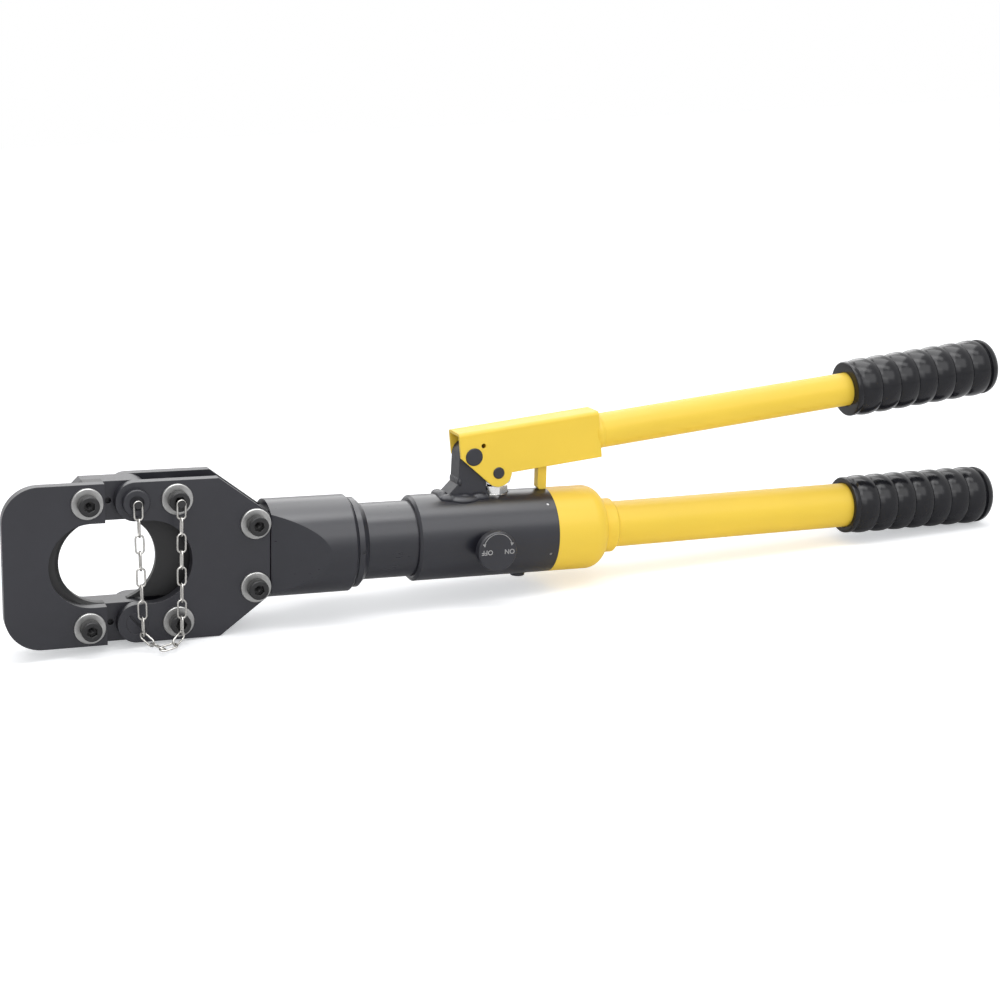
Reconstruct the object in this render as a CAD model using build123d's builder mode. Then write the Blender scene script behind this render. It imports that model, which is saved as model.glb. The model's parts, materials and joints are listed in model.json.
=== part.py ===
"""Hand-operated hydraulic cable cutter with an opening head, a pump body and two long handles.

Frame: +X runs along the tool axis from the head to the handles, +Z is up when the tool stands on the
lower edge of its head, and -Y is the side with the release knob. The origin lies on the head's lower
edge, straight below the middle of the cutting opening. Lengths are in millimetres.
"""

from build123d import *

import os
from math import asin, atan2, cos, hypot, radians, sin, sqrt

os.makedirs("parts", exist_ok=True)

# Fits and clearances
slide_fit = 0.05          # flat guided faces, each side
shaft_fit = 0.05          # running shafts, radial
seat_fit = 0.03           # parts pressed, screwed or glued together, radial
free_gap = 0.4            # parts that only pass each other
stop_gap = 0.1            # a stop and the face it rests on

# Head plates
axis_height = 52.0        # tool axis above the head's lower edge, also half the head's height
plate_thickness = 8.0
plate_gap = 20.0          # between the two side plates
opening_length = 90.0
opening_half = 27.0       # half the opening's height
plate_rear_x = 95.5
plate_rear_half = 27.0    # half height of the plates where they meet the yoke
chamfer_x = 62.5          # where the rear chamfers start

# Lugs of the side plates, with the latch pin above and the hinge pin below
lug_x = 9.5
pin_radius = 7.0
lug_radius = (axis_height - opening_half) / 2
lug_offset = axis_height - lug_radius      # pin axes above and below the tool axis

# Front jaw
jaw_tip_x = -72.5
jaw_corner_radius = 23.0
cover_edge_x = -9.5       # rear edge of the cover plate, clear of the lugs
block_inset = 6.0         # the block stands back from the cover plate's tip
block_top_x = -21.5       # front end of the block's full-height part
block_shoulder = 8.0      # drop and slope of the block's shoulders
block_corner = 10.0
fixed_blade_thickness = 8.0
blade_thickness = 7.0
blade_bevel = 2.5
tooling_hole_radius = 2.0
tooling_hole_depth = 5.0
pocket_run = 1.0          # the blade's pocket past the blade's tips, fully forward

# Blades
fixed_edge_x = -37.5      # deepest point of the fixed cutting edge
moving_edge_x = 24.9      # deepest point of the moving cutting edge, fully back
moving_edge_radius = 28.0
blade_overlap = 2.0       # the edges pass each other by this much at full stroke
blade_half = opening_half - free_gap
blade_root = 10.0         # how far the blade reaches into its carrier
carrier_x = 49.5
carrier_length = 22.0
blade_screw_radius = 3.0
blade_screw_offset = 15.0
rod_end_run = 2.0         # the rod stays this far behind the blade's root
rod_end_gap = 0.03        # between the rod's end and the bottom of its hole

# Screws, washers and nuts of the head
screw_radius = 4.0
screw_hole_radius = 4.25
screw_head_radius = 6.5
screw_head_height = 8.0
screw_head_edge = 0.7
socket_across_flats = 6.0
socket_depth = 4.0
washer_radius = 10.0
washer_thickness = 2.0
washer_edge = 0.4
nut_across_flats = 13.0
nut_height = 6.5
screw_tail = 1.0          # screws past their nuts
spacer_radius = 8.0
jaw_screw_x = -20.5
mid_screw_x = 35.5
plate_screw_offset = 40.0
yoke_screw_x = 86.0
yoke_screw_offset = 21.0
jaw_screw_end = 6.0       # y where the jaw screws end in the block
screw_hole_run = 1.0      # a blind screw hole past its screw

# Yoke, locking ring and cylinder
yoke_gap = 0.5            # between the side plates' rear edge and the yoke's shoulder
yoke_radius = 32.2
yoke_length = 56.5
yoke_chamfer = 2.5
tongue_front_x = 73.5
flat_front_y = 18.6       # half width of the yoke across its sloped flats, at the front
flat_length = 37.0        # where the sloped flats run out
ring_radius = 30.0
ring_length = 8.0
ring_chamfer = 4.3
grub_radius = 1.3
grub_setback = 2.8        # from the ring's front face
grub_depth = 0.8          # how far the grub screw is sunk
cylinder_radius = 25.5
cylinder_bore = 20.0
cylinder_engagement = 39.0        # length screwed into the yoke
cylinder_thread_radius = 24.0     # smaller where the yoke's flats are deep
cylinder_thread_length = 12.0
spring_seat_depth = 4.0           # the spring seats this much further forward than the tube
rod_radius = 9.0
rod_end_radius = 6.0
piston_spindle_radius = 7.0
piston_length = 14.0
piston_gap = 2.0          # from the piston to the tube's rear end, fully back
piston_nut_length = 6.0
piston_nut_flats = 24.0
spring_wire = 1.5         # radius of the return spring's wire
spring_radius = 16.0
spring_turns = 6
seal_section = 3.0
rod_seal_setback = 3.0    # behind the yoke's shoulder
barrel_seal_setback = 4.0 # in front of the tube's rear end

# Pump body
body_front_x = 194.7
body_length = 99.1
body_radius = 29.0
body_chamfer = 2.0
barrel_engagement = 15.0
chamber_radius = 16.0     # pressure chamber behind the piston nut
chamber_length = 6.5
spigot_radius = 22.0
spigot_length = 15.0
cavity_radius = 10.0      # oil port in the spigot
cavity_depth = 25.0
set_screw_radius = 1.0
set_screw_length = 5.0
set_screw_setback = 5.3           # in front of the body's rear face
set_screw_sunk = 0.4
set_screw_angles = (50, -22, 142, -142)

# Pump plunger and its gland
plunger_setback = 62.1    # from the body's front face
plunger_radius = 6.0
plunger_bottom = -8.0     # end of the plunger above the tool axis, handle down
bore_bottom = -12.0
gland_thread_radius = 8.0
gland_hex_sunk = 1.0      # the hexagon's seat below the top of the body
gland_thread_length = 11.0
gland_hex_height = 5.5
gland_across_flats = 15.0
spot_face_radius = 9.2
eye_gap = 1.5             # from the gland nut up to the plunger's eye
eye_height = 16.5
eye_half_width = 9.0
eye_corner = 3.0
eye_slot_half = 6.6       # half length of the slot for the link pin
eye_slot_margin = 0.4     # room of the link pin in the plunger's slot, above and below

# Pump handle, in its own frame: origin at the pivot, u along the handle, v square to it
pivot_setback = 19.4      # in front of the plunger
pivot_rise = 26.4         # above the top of the body
handle_slope = 6.5        # degrees, handle down on its stop
pivot_pin_radius = 6.0
link_pin_radius = 4.0
link_u = 16.5
link_v = -13.7
socket_front_u = -9.3
socket_rear_u = 92.5
socket_top_v = 17.2
socket_bottom_v = -14.8
socket_notch_v = 0.4      # where the sloped front edge starts
socket_width = 21.0
socket_wall = 2.0
socket_bend_radius = 2.6
nose_radius = 9.5
drilled_hole_u = 7.4
drilled_hole_v = 6.5
drilled_hole_radius = 1.6
upper_tube_v = 1.2
upper_tube_radius = 12.0
upper_tube_wall = 2.0
upper_tube_start_u = 42.0
upper_grip_start_u = 291.5
bracket_boss_radius = 9.4
bracket_waist_front = -10.0       # the bracket's sides at the waist, from the pivot
bracket_waist_rise = 8.0          # waist above the top of the body
bracket_foot_rear = 9.8
bracket_foot_rise = 3.8
bracket_base_front = -20.0        # ends of the bracket's base, from the pivot
bracket_base_rear = 13.1
bracket_root_depth = 2.2          # below the top of the body
pin_tail = 2.0            # pins past the far cheek
pin_nose = 0.5            # pins past the near cheek
pin_edge = 0.4
peg_size = 6.4
peg_chamfer = 1.6
peg_setback = 3.8         # in front of the body's rear face
pin_clip_thickness = 1.2
pin_clip_rim = 1.6

# Fixed handle
collar_length = 28.9      # straight part of the collar
shoulder_length = 11.6
collar_neck_radius = 18.8
collar_neck_length = 10.1
collar_neck_edge = 1.8
shoulder_bulge = 2.6      # bulge of the shoulder outside its chord
lower_handle_slope = 0.9  # degrees, the tube rises a little from the collar's seat
lower_tube_radius = 16.0
lower_tube_wall = 2.5
tube_seat_depth = 30.0    # from the collar's front face to the tube's front end
lower_grip_start_u = 207.2        # from the tube's front end
bladder_radius = 11.0
bladder_wall = 1.2
bladder_length = 150.0
bladder_flange = 2.0

# Grips
grip_length = 121.0
grip_radius = 21.3
upper_grip_radius = 20.6
grip_lip = 5.0
grip_groove = 1.2
grip_ribs = 7
rib_depth = 1.5
rib_crest = 0.35          # where a rib is highest, as a share of its length
grip_end_wall = 4.0
grip_end_length = 8.0
grip_end_radius = 5.0
plug_length = 8.0

# Release valve
knob_setback = 49.3       # from the body's front face
knob_drop = 2.6           # below the tool axis
knob_radius = 13.5
knob_gap = 6.0            # from the body to the knob's back
knob_thickness = 7.0
knob_edge = 0.8
spindle_radius = 4.0
spindle_tip_y = -5.0
spindle_tip_radius = 1.2
spindle_tip_length = 3.0
spindle_seal_y = -17.0
spindle_seal_radius = 6.0

# Valves and drain
valve_ball_radius = 3.2
valve_chamber_radius = 3.6
passage_radius = 2.0
valve_chamber_length = 14.0
suction_wall = 2.0        # from the plunger's bore back to the suction valve
delivery_wall = 1.0       # from the plunger's bore forward to the delivery valve
valve_spring_wire = 0.4
valve_spring_turns = 4
suction_drop = 6.0        # passages below the tool axis
delivery_drop = 9.0
drain_setback = 80.3      # from the body's front face
drain_radius = 5.0
drain_head = 2.2
drain_shank_radius = 3.5
drain_shank_length = 8.0
drain_edge = 0.5
drain_socket_radius = 2.8

# Latch pin and safety chain
latch_head_radius = 8.5
latch_head_length = 4.5
latch_recess_radius = 4.6
latch_recess_depth = 3.0
latch_tail = 3.0
latch_tail_edge = 1.0
latch_head_edge = 0.8
pin_slot_width = 1.6
pin_slot_depth = 1.5
pin_slot_angle = -50.0     # degrees
clip_groove_depth = 1.0
detent_radius = 1.5
rivet_radius = 1.2
rivet_head_radius = 2.4
rivet_head_thickness = 0.8
chain_wire = 1.2
chain_pitch = 12.0        # length of a link between the centres of its end wires
link_width = 6.4
hanging_links = 8
latch_lean = 1.4          # degrees between a strand and the head, towards the handles
anchor_lean = -0.4
chain_stand_off = 2.3     # room for the second link in front of the pin's and screw's heads

# Stations that follow from the values above
plate_y = plate_gap / 2
face_y = plate_y + plate_thickness
shear_y = fixed_blade_thickness - plate_y
blade_back_y = shear_y + slide_fit + blade_thickness
stroke = moving_edge_x - fixed_edge_x + blade_overlap
blade_tip_x = moving_edge_x - moving_edge_radius + sqrt(moving_edge_radius**2 - blade_half**2)
yoke_x = plate_rear_x + yoke_gap
ring_x = yoke_x + yoke_length
cylinder_x = ring_x - cylinder_engagement
thread_end_x = cylinder_x + cylinder_thread_length
body_x = body_front_x
body_rear_x = body_x + body_length
cylinder_rear_x = body_x + barrel_engagement
piston_x = cylinder_rear_x - piston_gap - piston_length
spring_seat_x = cylinder_x - spring_seat_depth
plunger_x = body_x + plunger_setback
pivot_x = plunger_x - pivot_setback
knob_x = body_x + knob_setback
drain_x = body_x + drain_setback
collar_x = body_rear_x
set_screw_x = body_rear_x - set_screw_setback
peg_x = body_rear_x - peg_setback
front_chamfer = min(body_chamfer, (body_radius - cylinder_radius - seat_fit) / 2)
gland_hex_seat = body_radius - gland_hex_sunk
gland_seat = gland_hex_seat - gland_thread_length
gland_top = gland_hex_seat + gland_hex_height
pivot_height = body_radius + pivot_rise
bracket_waist_height = body_radius + bracket_waist_rise
bracket_foot_height = body_radius + bracket_foot_rise
bracket_root_height = body_radius - bracket_root_depth
knob_face_y = -body_radius - knob_gap - knob_thickness
shoulder_x = collar_x + collar_length
neck_x = shoulder_x + shoulder_length
neck_end_x = neck_x + collar_neck_length
tube_x = collar_x + tube_seat_depth
lower_grip_end_u = lower_grip_start_u + grip_length
upper_grip_end_u = upper_grip_start_u + grip_length

tool_plane = Plane(origin=(0, 0, axis_height), x_dir=(1, 0, 0), z_dir=(0, -1, 0))
tool_axis = Axis((0, 0, axis_height), (1, 0, 0))
handle_plane = Plane(
    origin=(pivot_x, 0, axis_height + pivot_height),
    x_dir=(cos(radians(handle_slope)), 0, sin(radians(handle_slope))),
    z_dir=(0, -1, 0),
)
handle_axis = Axis(
    handle_plane.from_local_coords((0, upper_tube_v, 0)),
    handle_plane.x_dir,
)
rear_plane = Plane(
    origin=(tube_x, 0, axis_height),
    x_dir=(cos(radians(lower_handle_slope)), 0, sin(radians(lower_handle_slope))),
    z_dir=(0, -1, 0),
)
rear_axis = Axis(rear_plane.origin, rear_plane.x_dir)
jaw_points = [(jaw_screw_x, plate_screw_offset), (jaw_screw_x, -plate_screw_offset)]
mid_points = [(mid_screw_x, plate_screw_offset), (mid_screw_x, -plate_screw_offset)]
yoke_points = [(yoke_screw_x, yoke_screw_offset), (yoke_screw_x, -yoke_screw_offset)]
lug_points = [(lug_x, lug_offset), (lug_x, -lug_offset)]


def at_y(y):
    """Plane square to Y, with its origin above the row origin on the tool axis; it extrudes to -Y."""
    return tool_plane.offset(-y)


def save(piece, name):
    """Label a finished piece and write it."""
    piece.part.label = name
    export_step(piece.part, f"parts/{name}.step")


def turned(points, plane=tool_plane, axis=tool_axis):
    """A piece turned about an axis, the tool's own at first, from a closed outline of its points."""
    with BuildPart() as piece:
        with BuildSketch(plane):
            with BuildLine():
                Polyline(*points, close=True)
            make_face()
        revolve(axis=axis)
    return piece


def seal_ring(x, inner, outer, width):
    """A square-section seal about the tool axis."""
    return turned([(x, inner), (x + width, inner), (x + width, outer), (x, outer)])


def cross_pins(points, radius, y_front, y_back, edge=0.0):
    """Plain pins square to the head, one at each point."""
    with BuildPart() as pins:
        with BuildSketch(at_y(y_back)):
            with Locations(*points):
                Circle(radius)
        extrude(amount=y_back - y_front)
        if edge > 0:
            chamfer(pins.edges().filter_by(GeomType.CIRCLE), edge)
    return pins


def socket_screws(points, y_end):
    """Socket head screws whose heads stand on the washers, with shanks that reach back to y_end."""
    seat = -face_y - washer_thickness
    with BuildPart() as screws:
        with BuildSketch(at_y(seat)):
            with Locations(*points):
                Circle(screw_head_radius)
        extrude(amount=screw_head_height)
        rims = screws.edges().filter_by(GeomType.CIRCLE).group_by(Axis.Y)[0]
        chamfer(rims, screw_head_edge)
        with BuildSketch(at_y(seat - screw_head_height)):
            with Locations(*points):
                RegularPolygon(socket_across_flats / 2, 6, major_radius=False)
        extrude(amount=-socket_depth, mode=Mode.SUBTRACT)
        with BuildSketch(at_y(y_end)):
            with Locations(*points):
                Circle(screw_radius)
        extrude(amount=y_end - seat)
    return screws


# ---------------------------------------------------------------- head: plates and jaw


def side_plate(y_back):
    """One of the two rear plates, with its lugs, its half of the opening and all its holes."""
    with BuildPart() as plate:
        with BuildSketch(at_y(y_back)):
            with BuildLine():
                Polyline(
                    (lug_x, axis_height),
                    (chamfer_x, axis_height),
                    (plate_rear_x, plate_rear_half),
                    (plate_rear_x, -plate_rear_half),
                    (chamfer_x, -axis_height),
                    (lug_x, -axis_height),
                    close=True,
                )
            make_face()
            with Locations(*lug_points):
                Circle(lug_radius)
            SlotOverall(opening_length, 2 * opening_half, mode=Mode.SUBTRACT)
            with Locations(*lug_points):
                Circle(pin_radius + shaft_fit, mode=Mode.SUBTRACT)
            with Locations(*mid_points, *yoke_points):
                Circle(screw_hole_radius, mode=Mode.SUBTRACT)
        extrude(amount=plate_thickness)
    return plate


side_plate_near = side_plate(-plate_y)
save(side_plate_near, "side_plate_near")

side_plate_far = side_plate(face_y)
save(side_plate_far, "side_plate_far")

with BuildPart() as jaw_cover_plate:
    with BuildSketch(at_y(-plate_y)):
        with Locations(((jaw_tip_x + cover_edge_x) / 2, 0)):
            Rectangle(cover_edge_x - jaw_tip_x, 2 * axis_height)
    extrude(amount=plate_thickness)
    corners = jaw_cover_plate.edges().filter_by(Axis.Y).group_by(Axis.X)[0]
    fillet(corners, jaw_corner_radius)
    with BuildSketch(at_y(-plate_y)):
        SlotOverall(opening_length, 2 * opening_half)
        with Locations(*jaw_points):
            Circle(screw_hole_radius)
    extrude(amount=plate_thickness, mode=Mode.SUBTRACT)
save(jaw_cover_plate, "jaw_cover_plate")

block_tip_x = jaw_tip_x + block_inset
block_half = axis_height - block_shoulder
block_outline = [
    (block_top_x, axis_height),
    (block_top_x - block_shoulder, block_half),
    (block_tip_x + block_corner, block_half),
    (block_tip_x, block_half - block_corner),
    (block_tip_x, -block_half + block_corner),
    (block_tip_x + block_corner, -block_half),
    (block_top_x - block_shoulder, -block_half),
    (block_top_x, -axis_height),
]
ear_y = plate_y - slide_fit
pocket_x = blade_tip_x - stroke - pocket_run

with BuildPart() as front_jaw:
    with BuildSketch(at_y(ear_y)):
        with BuildLine():
            Polyline(*block_outline, (lug_x, -axis_height), (lug_x, axis_height), close=True)
        make_face()
        with Locations(*lug_points):
            Circle(lug_radius)
        SlotOverall(opening_length, 2 * opening_half, mode=Mode.SUBTRACT)
        with Locations(*lug_points):
            Circle(pin_radius + shaft_fit, mode=Mode.SUBTRACT)
    extrude(amount=2 * ear_y)
    with BuildSketch(at_y(shear_y)):
        with Locations(((block_tip_x + cover_edge_x) / 2, 0)):
            Rectangle(cover_edge_x - block_tip_x, 2 * axis_height)
    extrude(amount=plate_y, mode=Mode.SUBTRACT)
    with BuildSketch(at_y(blade_back_y + slide_fit)):
        with Locations((pocket_x / 2, 0)):
            Rectangle(-pocket_x, 2 * opening_half)
    extrude(amount=blade_back_y + slide_fit - shear_y, mode=Mode.SUBTRACT)
    with BuildSketch(at_y(jaw_screw_end + screw_hole_run)):
        with Locations(*jaw_points):
            Circle(screw_radius + seat_fit)
    extrude(amount=jaw_screw_end + screw_hole_run + plate_y, mode=Mode.SUBTRACT)
    tooling_x = (cover_edge_x + lug_x - lug_radius) / 2
    with BuildSketch(at_y(-ear_y)):
        with Locations((tooling_x, lug_offset), (tooling_x, -lug_offset)):
            Circle(tooling_hole_radius)
    extrude(amount=-tooling_hole_depth, mode=Mode.SUBTRACT)
save(front_jaw, "front_jaw")

with BuildPart() as fixed_blade:
    with BuildSketch(at_y(shear_y)):
        with BuildLine():
            Polyline(
                *block_outline,
                (cover_edge_x - slide_fit, -axis_height),
                (cover_edge_x - slide_fit, axis_height),
                close=True,
            )
        make_face()
        with Locations((fixed_edge_x + opening_half, 0)):
            Circle(opening_half, mode=Mode.SUBTRACT)
        with Locations(*jaw_points):
            Circle(screw_hole_radius, mode=Mode.SUBTRACT)
    extrude(amount=fixed_blade_thickness)
    front_arcs = fixed_blade.edges().filter_by(GeomType.CIRCLE).group_by(Axis.Y)[0]
    chamfer(front_arcs.sort_by(SortBy.RADIUS)[-1], blade_bevel)
save(fixed_blade, "fixed_blade")

with BuildPart() as moving_blade:
    with BuildSketch(at_y(blade_back_y)):
        with Locations(((blade_tip_x + carrier_x + blade_root) / 2, 0)):
            Rectangle(carrier_x + blade_root - blade_tip_x, 2 * blade_half)
        with Locations((moving_edge_x - moving_edge_radius, 0)):
            Circle(moving_edge_radius, mode=Mode.SUBTRACT)
        with Locations((carrier_x + blade_root / 2, blade_screw_offset)):
            Circle(blade_screw_radius + seat_fit, mode=Mode.SUBTRACT)
        with Locations((carrier_x + blade_root / 2, -blade_screw_offset)):
            Circle(blade_screw_radius + seat_fit, mode=Mode.SUBTRACT)
    extrude(amount=blade_thickness)
    back_arcs = moving_blade.edges().filter_by(GeomType.CIRCLE).group_by(Axis.Y)[-1]
    chamfer(back_arcs.sort_by(SortBy.RADIUS)[-1], blade_bevel)
save(moving_blade, "moving_blade")

blade_screw_points = [
    (carrier_x + blade_root / 2, blade_screw_offset),
    (carrier_x + blade_root / 2, -blade_screw_offset),
]

with BuildPart() as blade_carrier:
    with BuildSketch(at_y(ear_y)):
        with Locations((carrier_x + carrier_length / 2, 0)):
            Rectangle(carrier_length, 2 * blade_half)
    extrude(amount=2 * ear_y)
    with BuildSketch(at_y(blade_back_y + seat_fit)):
        with Locations((carrier_x + blade_root / 2, 0)):
            Rectangle(blade_root + 2 * seat_fit, 2 * axis_height)
    extrude(amount=blade_thickness + 2 * seat_fit, mode=Mode.SUBTRACT)
    with BuildSketch(at_y(ear_y)):
        with Locations(*blade_screw_points):
            Circle(blade_screw_radius + seat_fit)
    extrude(amount=2 * ear_y, mode=Mode.SUBTRACT)
    with BuildSketch(Plane.YZ.offset(carrier_x + carrier_length)):
        with Locations((0, axis_height)):
            Circle(rod_end_radius + seat_fit)
    extrude(amount=blade_root + rod_end_run - carrier_length, mode=Mode.SUBTRACT)
save(blade_carrier, "blade_carrier")

blade_screws = cross_pins(blade_screw_points, blade_screw_radius, -ear_y, ear_y)
save(blade_screws, "blade_screws")

# ---------------------------------------------------------------- head: pins, screws, washers

jaw_screws = socket_screws(jaw_points, jaw_screw_end)
save(jaw_screws, "jaw_screws")

plate_screws = socket_screws(mid_points + yoke_points, face_y + nut_height + screw_tail)
save(plate_screws, "plate_screws")

with BuildPart() as plate_nuts:
    with BuildSketch(at_y(face_y + nut_height)):
        with Locations(*mid_points, *yoke_points):
            RegularPolygon(nut_across_flats / 2, 6, major_radius=False)
            Circle(screw_radius + seat_fit, mode=Mode.SUBTRACT)
    extrude(amount=nut_height)
save(plate_nuts, "plate_nuts")

with BuildPart() as washers:
    with BuildSketch(at_y(-face_y)):
        with Locations(*jaw_points, *mid_points, *yoke_points):
            Circle(washer_radius)
            Circle(screw_hole_radius, mode=Mode.SUBTRACT)
    extrude(amount=washer_thickness)
    washer_rims = washers.edges().filter_by(GeomType.CIRCLE).group_by(Axis.Y)[0]
    chamfer(washer_rims.group_by(SortBy.RADIUS)[-1], washer_edge)
save(washers, "washers")

with BuildPart() as spacer_tubes:
    with BuildSketch(at_y(plate_y)):
        with Locations(*mid_points):
            Circle(spacer_radius)
            Circle(screw_hole_radius, mode=Mode.SUBTRACT)
    extrude(amount=plate_gap)
save(spacer_tubes, "spacer_tubes")

hinge_centre = (lug_x, -lug_offset)
with BuildPart() as hinge_pin:
    with BuildSketch(at_y(face_y + latch_tail)):
        with Locations(hinge_centre):
            Circle(pin_radius)
    extrude(amount=2 * face_y + latch_tail)
    with BuildSketch(at_y(-face_y)):
        with Locations(hinge_centre):
            Rectangle(2 * pin_radius, pin_slot_width, rotation=pin_slot_angle)
    extrude(amount=-pin_slot_depth, mode=Mode.SUBTRACT)
    with BuildSketch(at_y(face_y + pin_clip_thickness + seat_fit)):
        with Locations(hinge_centre):
            Circle(pin_radius + clip_groove_depth)
            Circle(pin_radius - clip_groove_depth, mode=Mode.SUBTRACT)
    extrude(amount=pin_clip_thickness, mode=Mode.SUBTRACT)
save(hinge_pin, "hinge_pin")

with BuildPart() as hinge_pin_clip:
    with BuildSketch(at_y(face_y + pin_clip_thickness + seat_fit)):
        with Locations(hinge_centre):
            Circle(pin_radius + pin_clip_rim)
            Circle(pin_radius - clip_groove_depth + seat_fit, mode=Mode.SUBTRACT)
            Rectangle(3 * pin_radius, pin_radius, align=(Align.MIN, Align.CENTER), mode=Mode.SUBTRACT)
    extrude(amount=pin_clip_thickness - seat_fit)
save(hinge_pin_clip, "hinge_pin_clip")

latch_centre = (lug_x, lug_offset)
latch_face_y = -face_y - latch_head_length
latch_recess_y = latch_face_y + latch_recess_depth
with BuildPart() as latch_pin:
    with BuildSketch(at_y(face_y + latch_tail)):
        with Locations(latch_centre):
            Circle(pin_radius)
    extrude(amount=2 * face_y + seat_fit + latch_tail)
    chamfer(latch_pin.edges().filter_by(GeomType.CIRCLE).sort_by(Axis.Y)[-1], latch_tail_edge)
    with BuildSketch(at_y(-face_y - seat_fit)):
        with Locations(latch_centre):
            Circle(latch_head_radius)
    extrude(amount=latch_head_length - seat_fit)
    fillet(latch_pin.edges().filter_by(GeomType.CIRCLE).sort_by(Axis.Y)[0], latch_head_edge)
    with BuildSketch(at_y(latch_face_y)):
        with Locations(latch_centre):
            Circle(latch_recess_radius)
    extrude(amount=-latch_recess_depth, mode=Mode.SUBTRACT)
    detent_y = face_y + latch_tail / 2
    with Locations((lug_x, detent_y, axis_height + lug_offset + pin_radius)):
        Sphere(detent_radius + seat_fit, mode=Mode.SUBTRACT)
save(latch_pin, "latch_pin")

with BuildPart() as latch_detent_ball:
    with Locations((lug_x, detent_y, axis_height + lug_offset + pin_radius)):
        Sphere(detent_radius)
save(latch_detent_ball, "latch_detent_ball")


def chain_rivet(centre, y_seat, y_link):
    """A headed rivet that stands out to the front and carries the end of the chain at y_link."""
    neck_end = y_link - chain_wire
    with BuildPart() as rivet:
        with BuildSketch(at_y(y_seat)):
            with Locations(centre):
                Circle(rivet_radius)
        extrude(amount=y_seat - neck_end)
        with BuildSketch(at_y(neck_end)):
            with Locations(centre):
                Circle(rivet_head_radius)
        extrude(amount=rivet_head_thickness)
    return rivet


screw_face_y = -face_y - washer_thickness - screw_head_height
latch_link_y = latch_face_y - chain_wire - chain_stand_off
anchor_link_y = screw_face_y - chain_wire - chain_stand_off
link_step = chain_pitch - chain_wire - stop_gap
chain_latch_rivet = chain_rivet(latch_centre, latch_recess_y, latch_link_y)
save(chain_latch_rivet, "chain_latch_rivet")
chain_anchor_rivet = chain_rivet(mid_points[0], screw_face_y + socket_depth, anchor_link_y)
save(chain_anchor_rivet, "chain_anchor_rivet")

# ---------------------------------------------------------------- safety chain


def chain_link(centre, along, across):
    """One closed link: its long way runs along one direction and its width along another."""
    link_plane = Plane(origin=centre, x_dir=along, z_dir=along.cross(across))
    half_length = chain_pitch / 2
    bend = (link_width - chain_wire) / 2
    straight = half_length - bend
    with BuildPart() as link:
        with BuildLine(link_plane) as route:
            Line((0, -bend), (straight, -bend))
            ThreePointArc((straight, -bend), (half_length, 0), (straight, bend))
            Line((straight, bend), (-straight, bend))
            ThreePointArc((-straight, bend), (-half_length, 0), (-straight, -bend))
            Line((-straight, -bend), (0, -bend))
        with BuildSketch(Plane(origin=link_plane.from_local_coords((0, -bend, 0)), z_dir=along)):
            Circle(chain_wire / 2)
        sweep(path=route.wires()[0])
    return link.part


side = Vector(0, 1, 0)
first_drop = (chain_pitch - chain_wire) / 2 - rivet_radius - stop_gap


def hanging_strand(x, y, z, angle):
    """Links that hang from a rivet, turned a quarter from one to the next, and the strand's end."""
    links = []
    lean = Vector(sin(radians(angle)), 0, -cos(radians(angle)))
    middle = Vector(x, y, z) + lean * first_drop
    for count in range(hanging_links):
        across = Vector(cos(radians(angle)), 0, sin(radians(angle)))
        if count % 2:
            across = side
        links.append(chain_link(middle, lean, across))
        middle = middle + lean * link_step
    return links, middle - lean * (link_step - chain_pitch / 2)


latch_strand, latch_end = hanging_strand(lug_x, latch_link_y, axis_height + lug_offset, latch_lean)
anchor_strand, anchor_end = hanging_strand(
    mid_screw_x,
    anchor_link_y,
    axis_height + plate_screw_offset,
    anchor_lean,
)

# The lying links follow a curve on the table in front of the head. Each point is where two links
# meet, and each link has its turn about its own length and the place of its middle past its point.
lying_points = [
    latch_end,
    latch_end + Vector(4.49, -5.96, -3.72),
    latch_end + Vector(9.53, -15.16, -4.86),
    latch_end + Vector(15.68, -13.00, -4.08),
    anchor_end,
]
lying_turns = (94.52, -25.40, 14.24, 82.70)
lying_middles = (3.57, 5.74, 3.71, 7.55)
lying_links = []
for start, end, turn, middle in zip(lying_points, lying_points[1:], lying_turns, lying_middles):
    along = (end - start).normalized()
    level = along.cross(Vector(0, 0, 1)).normalized()
    across = level.rotate(Axis((0, 0, 0), along), turn)
    lying_links.append(chain_link(start + along * middle, along, across))

with BuildPart() as safety_chain:
    add(latch_strand + lying_links + anchor_strand)
save(safety_chain, "safety_chain")

# ---------------------------------------------------------------- neck: yoke, ring and cylinder

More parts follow.
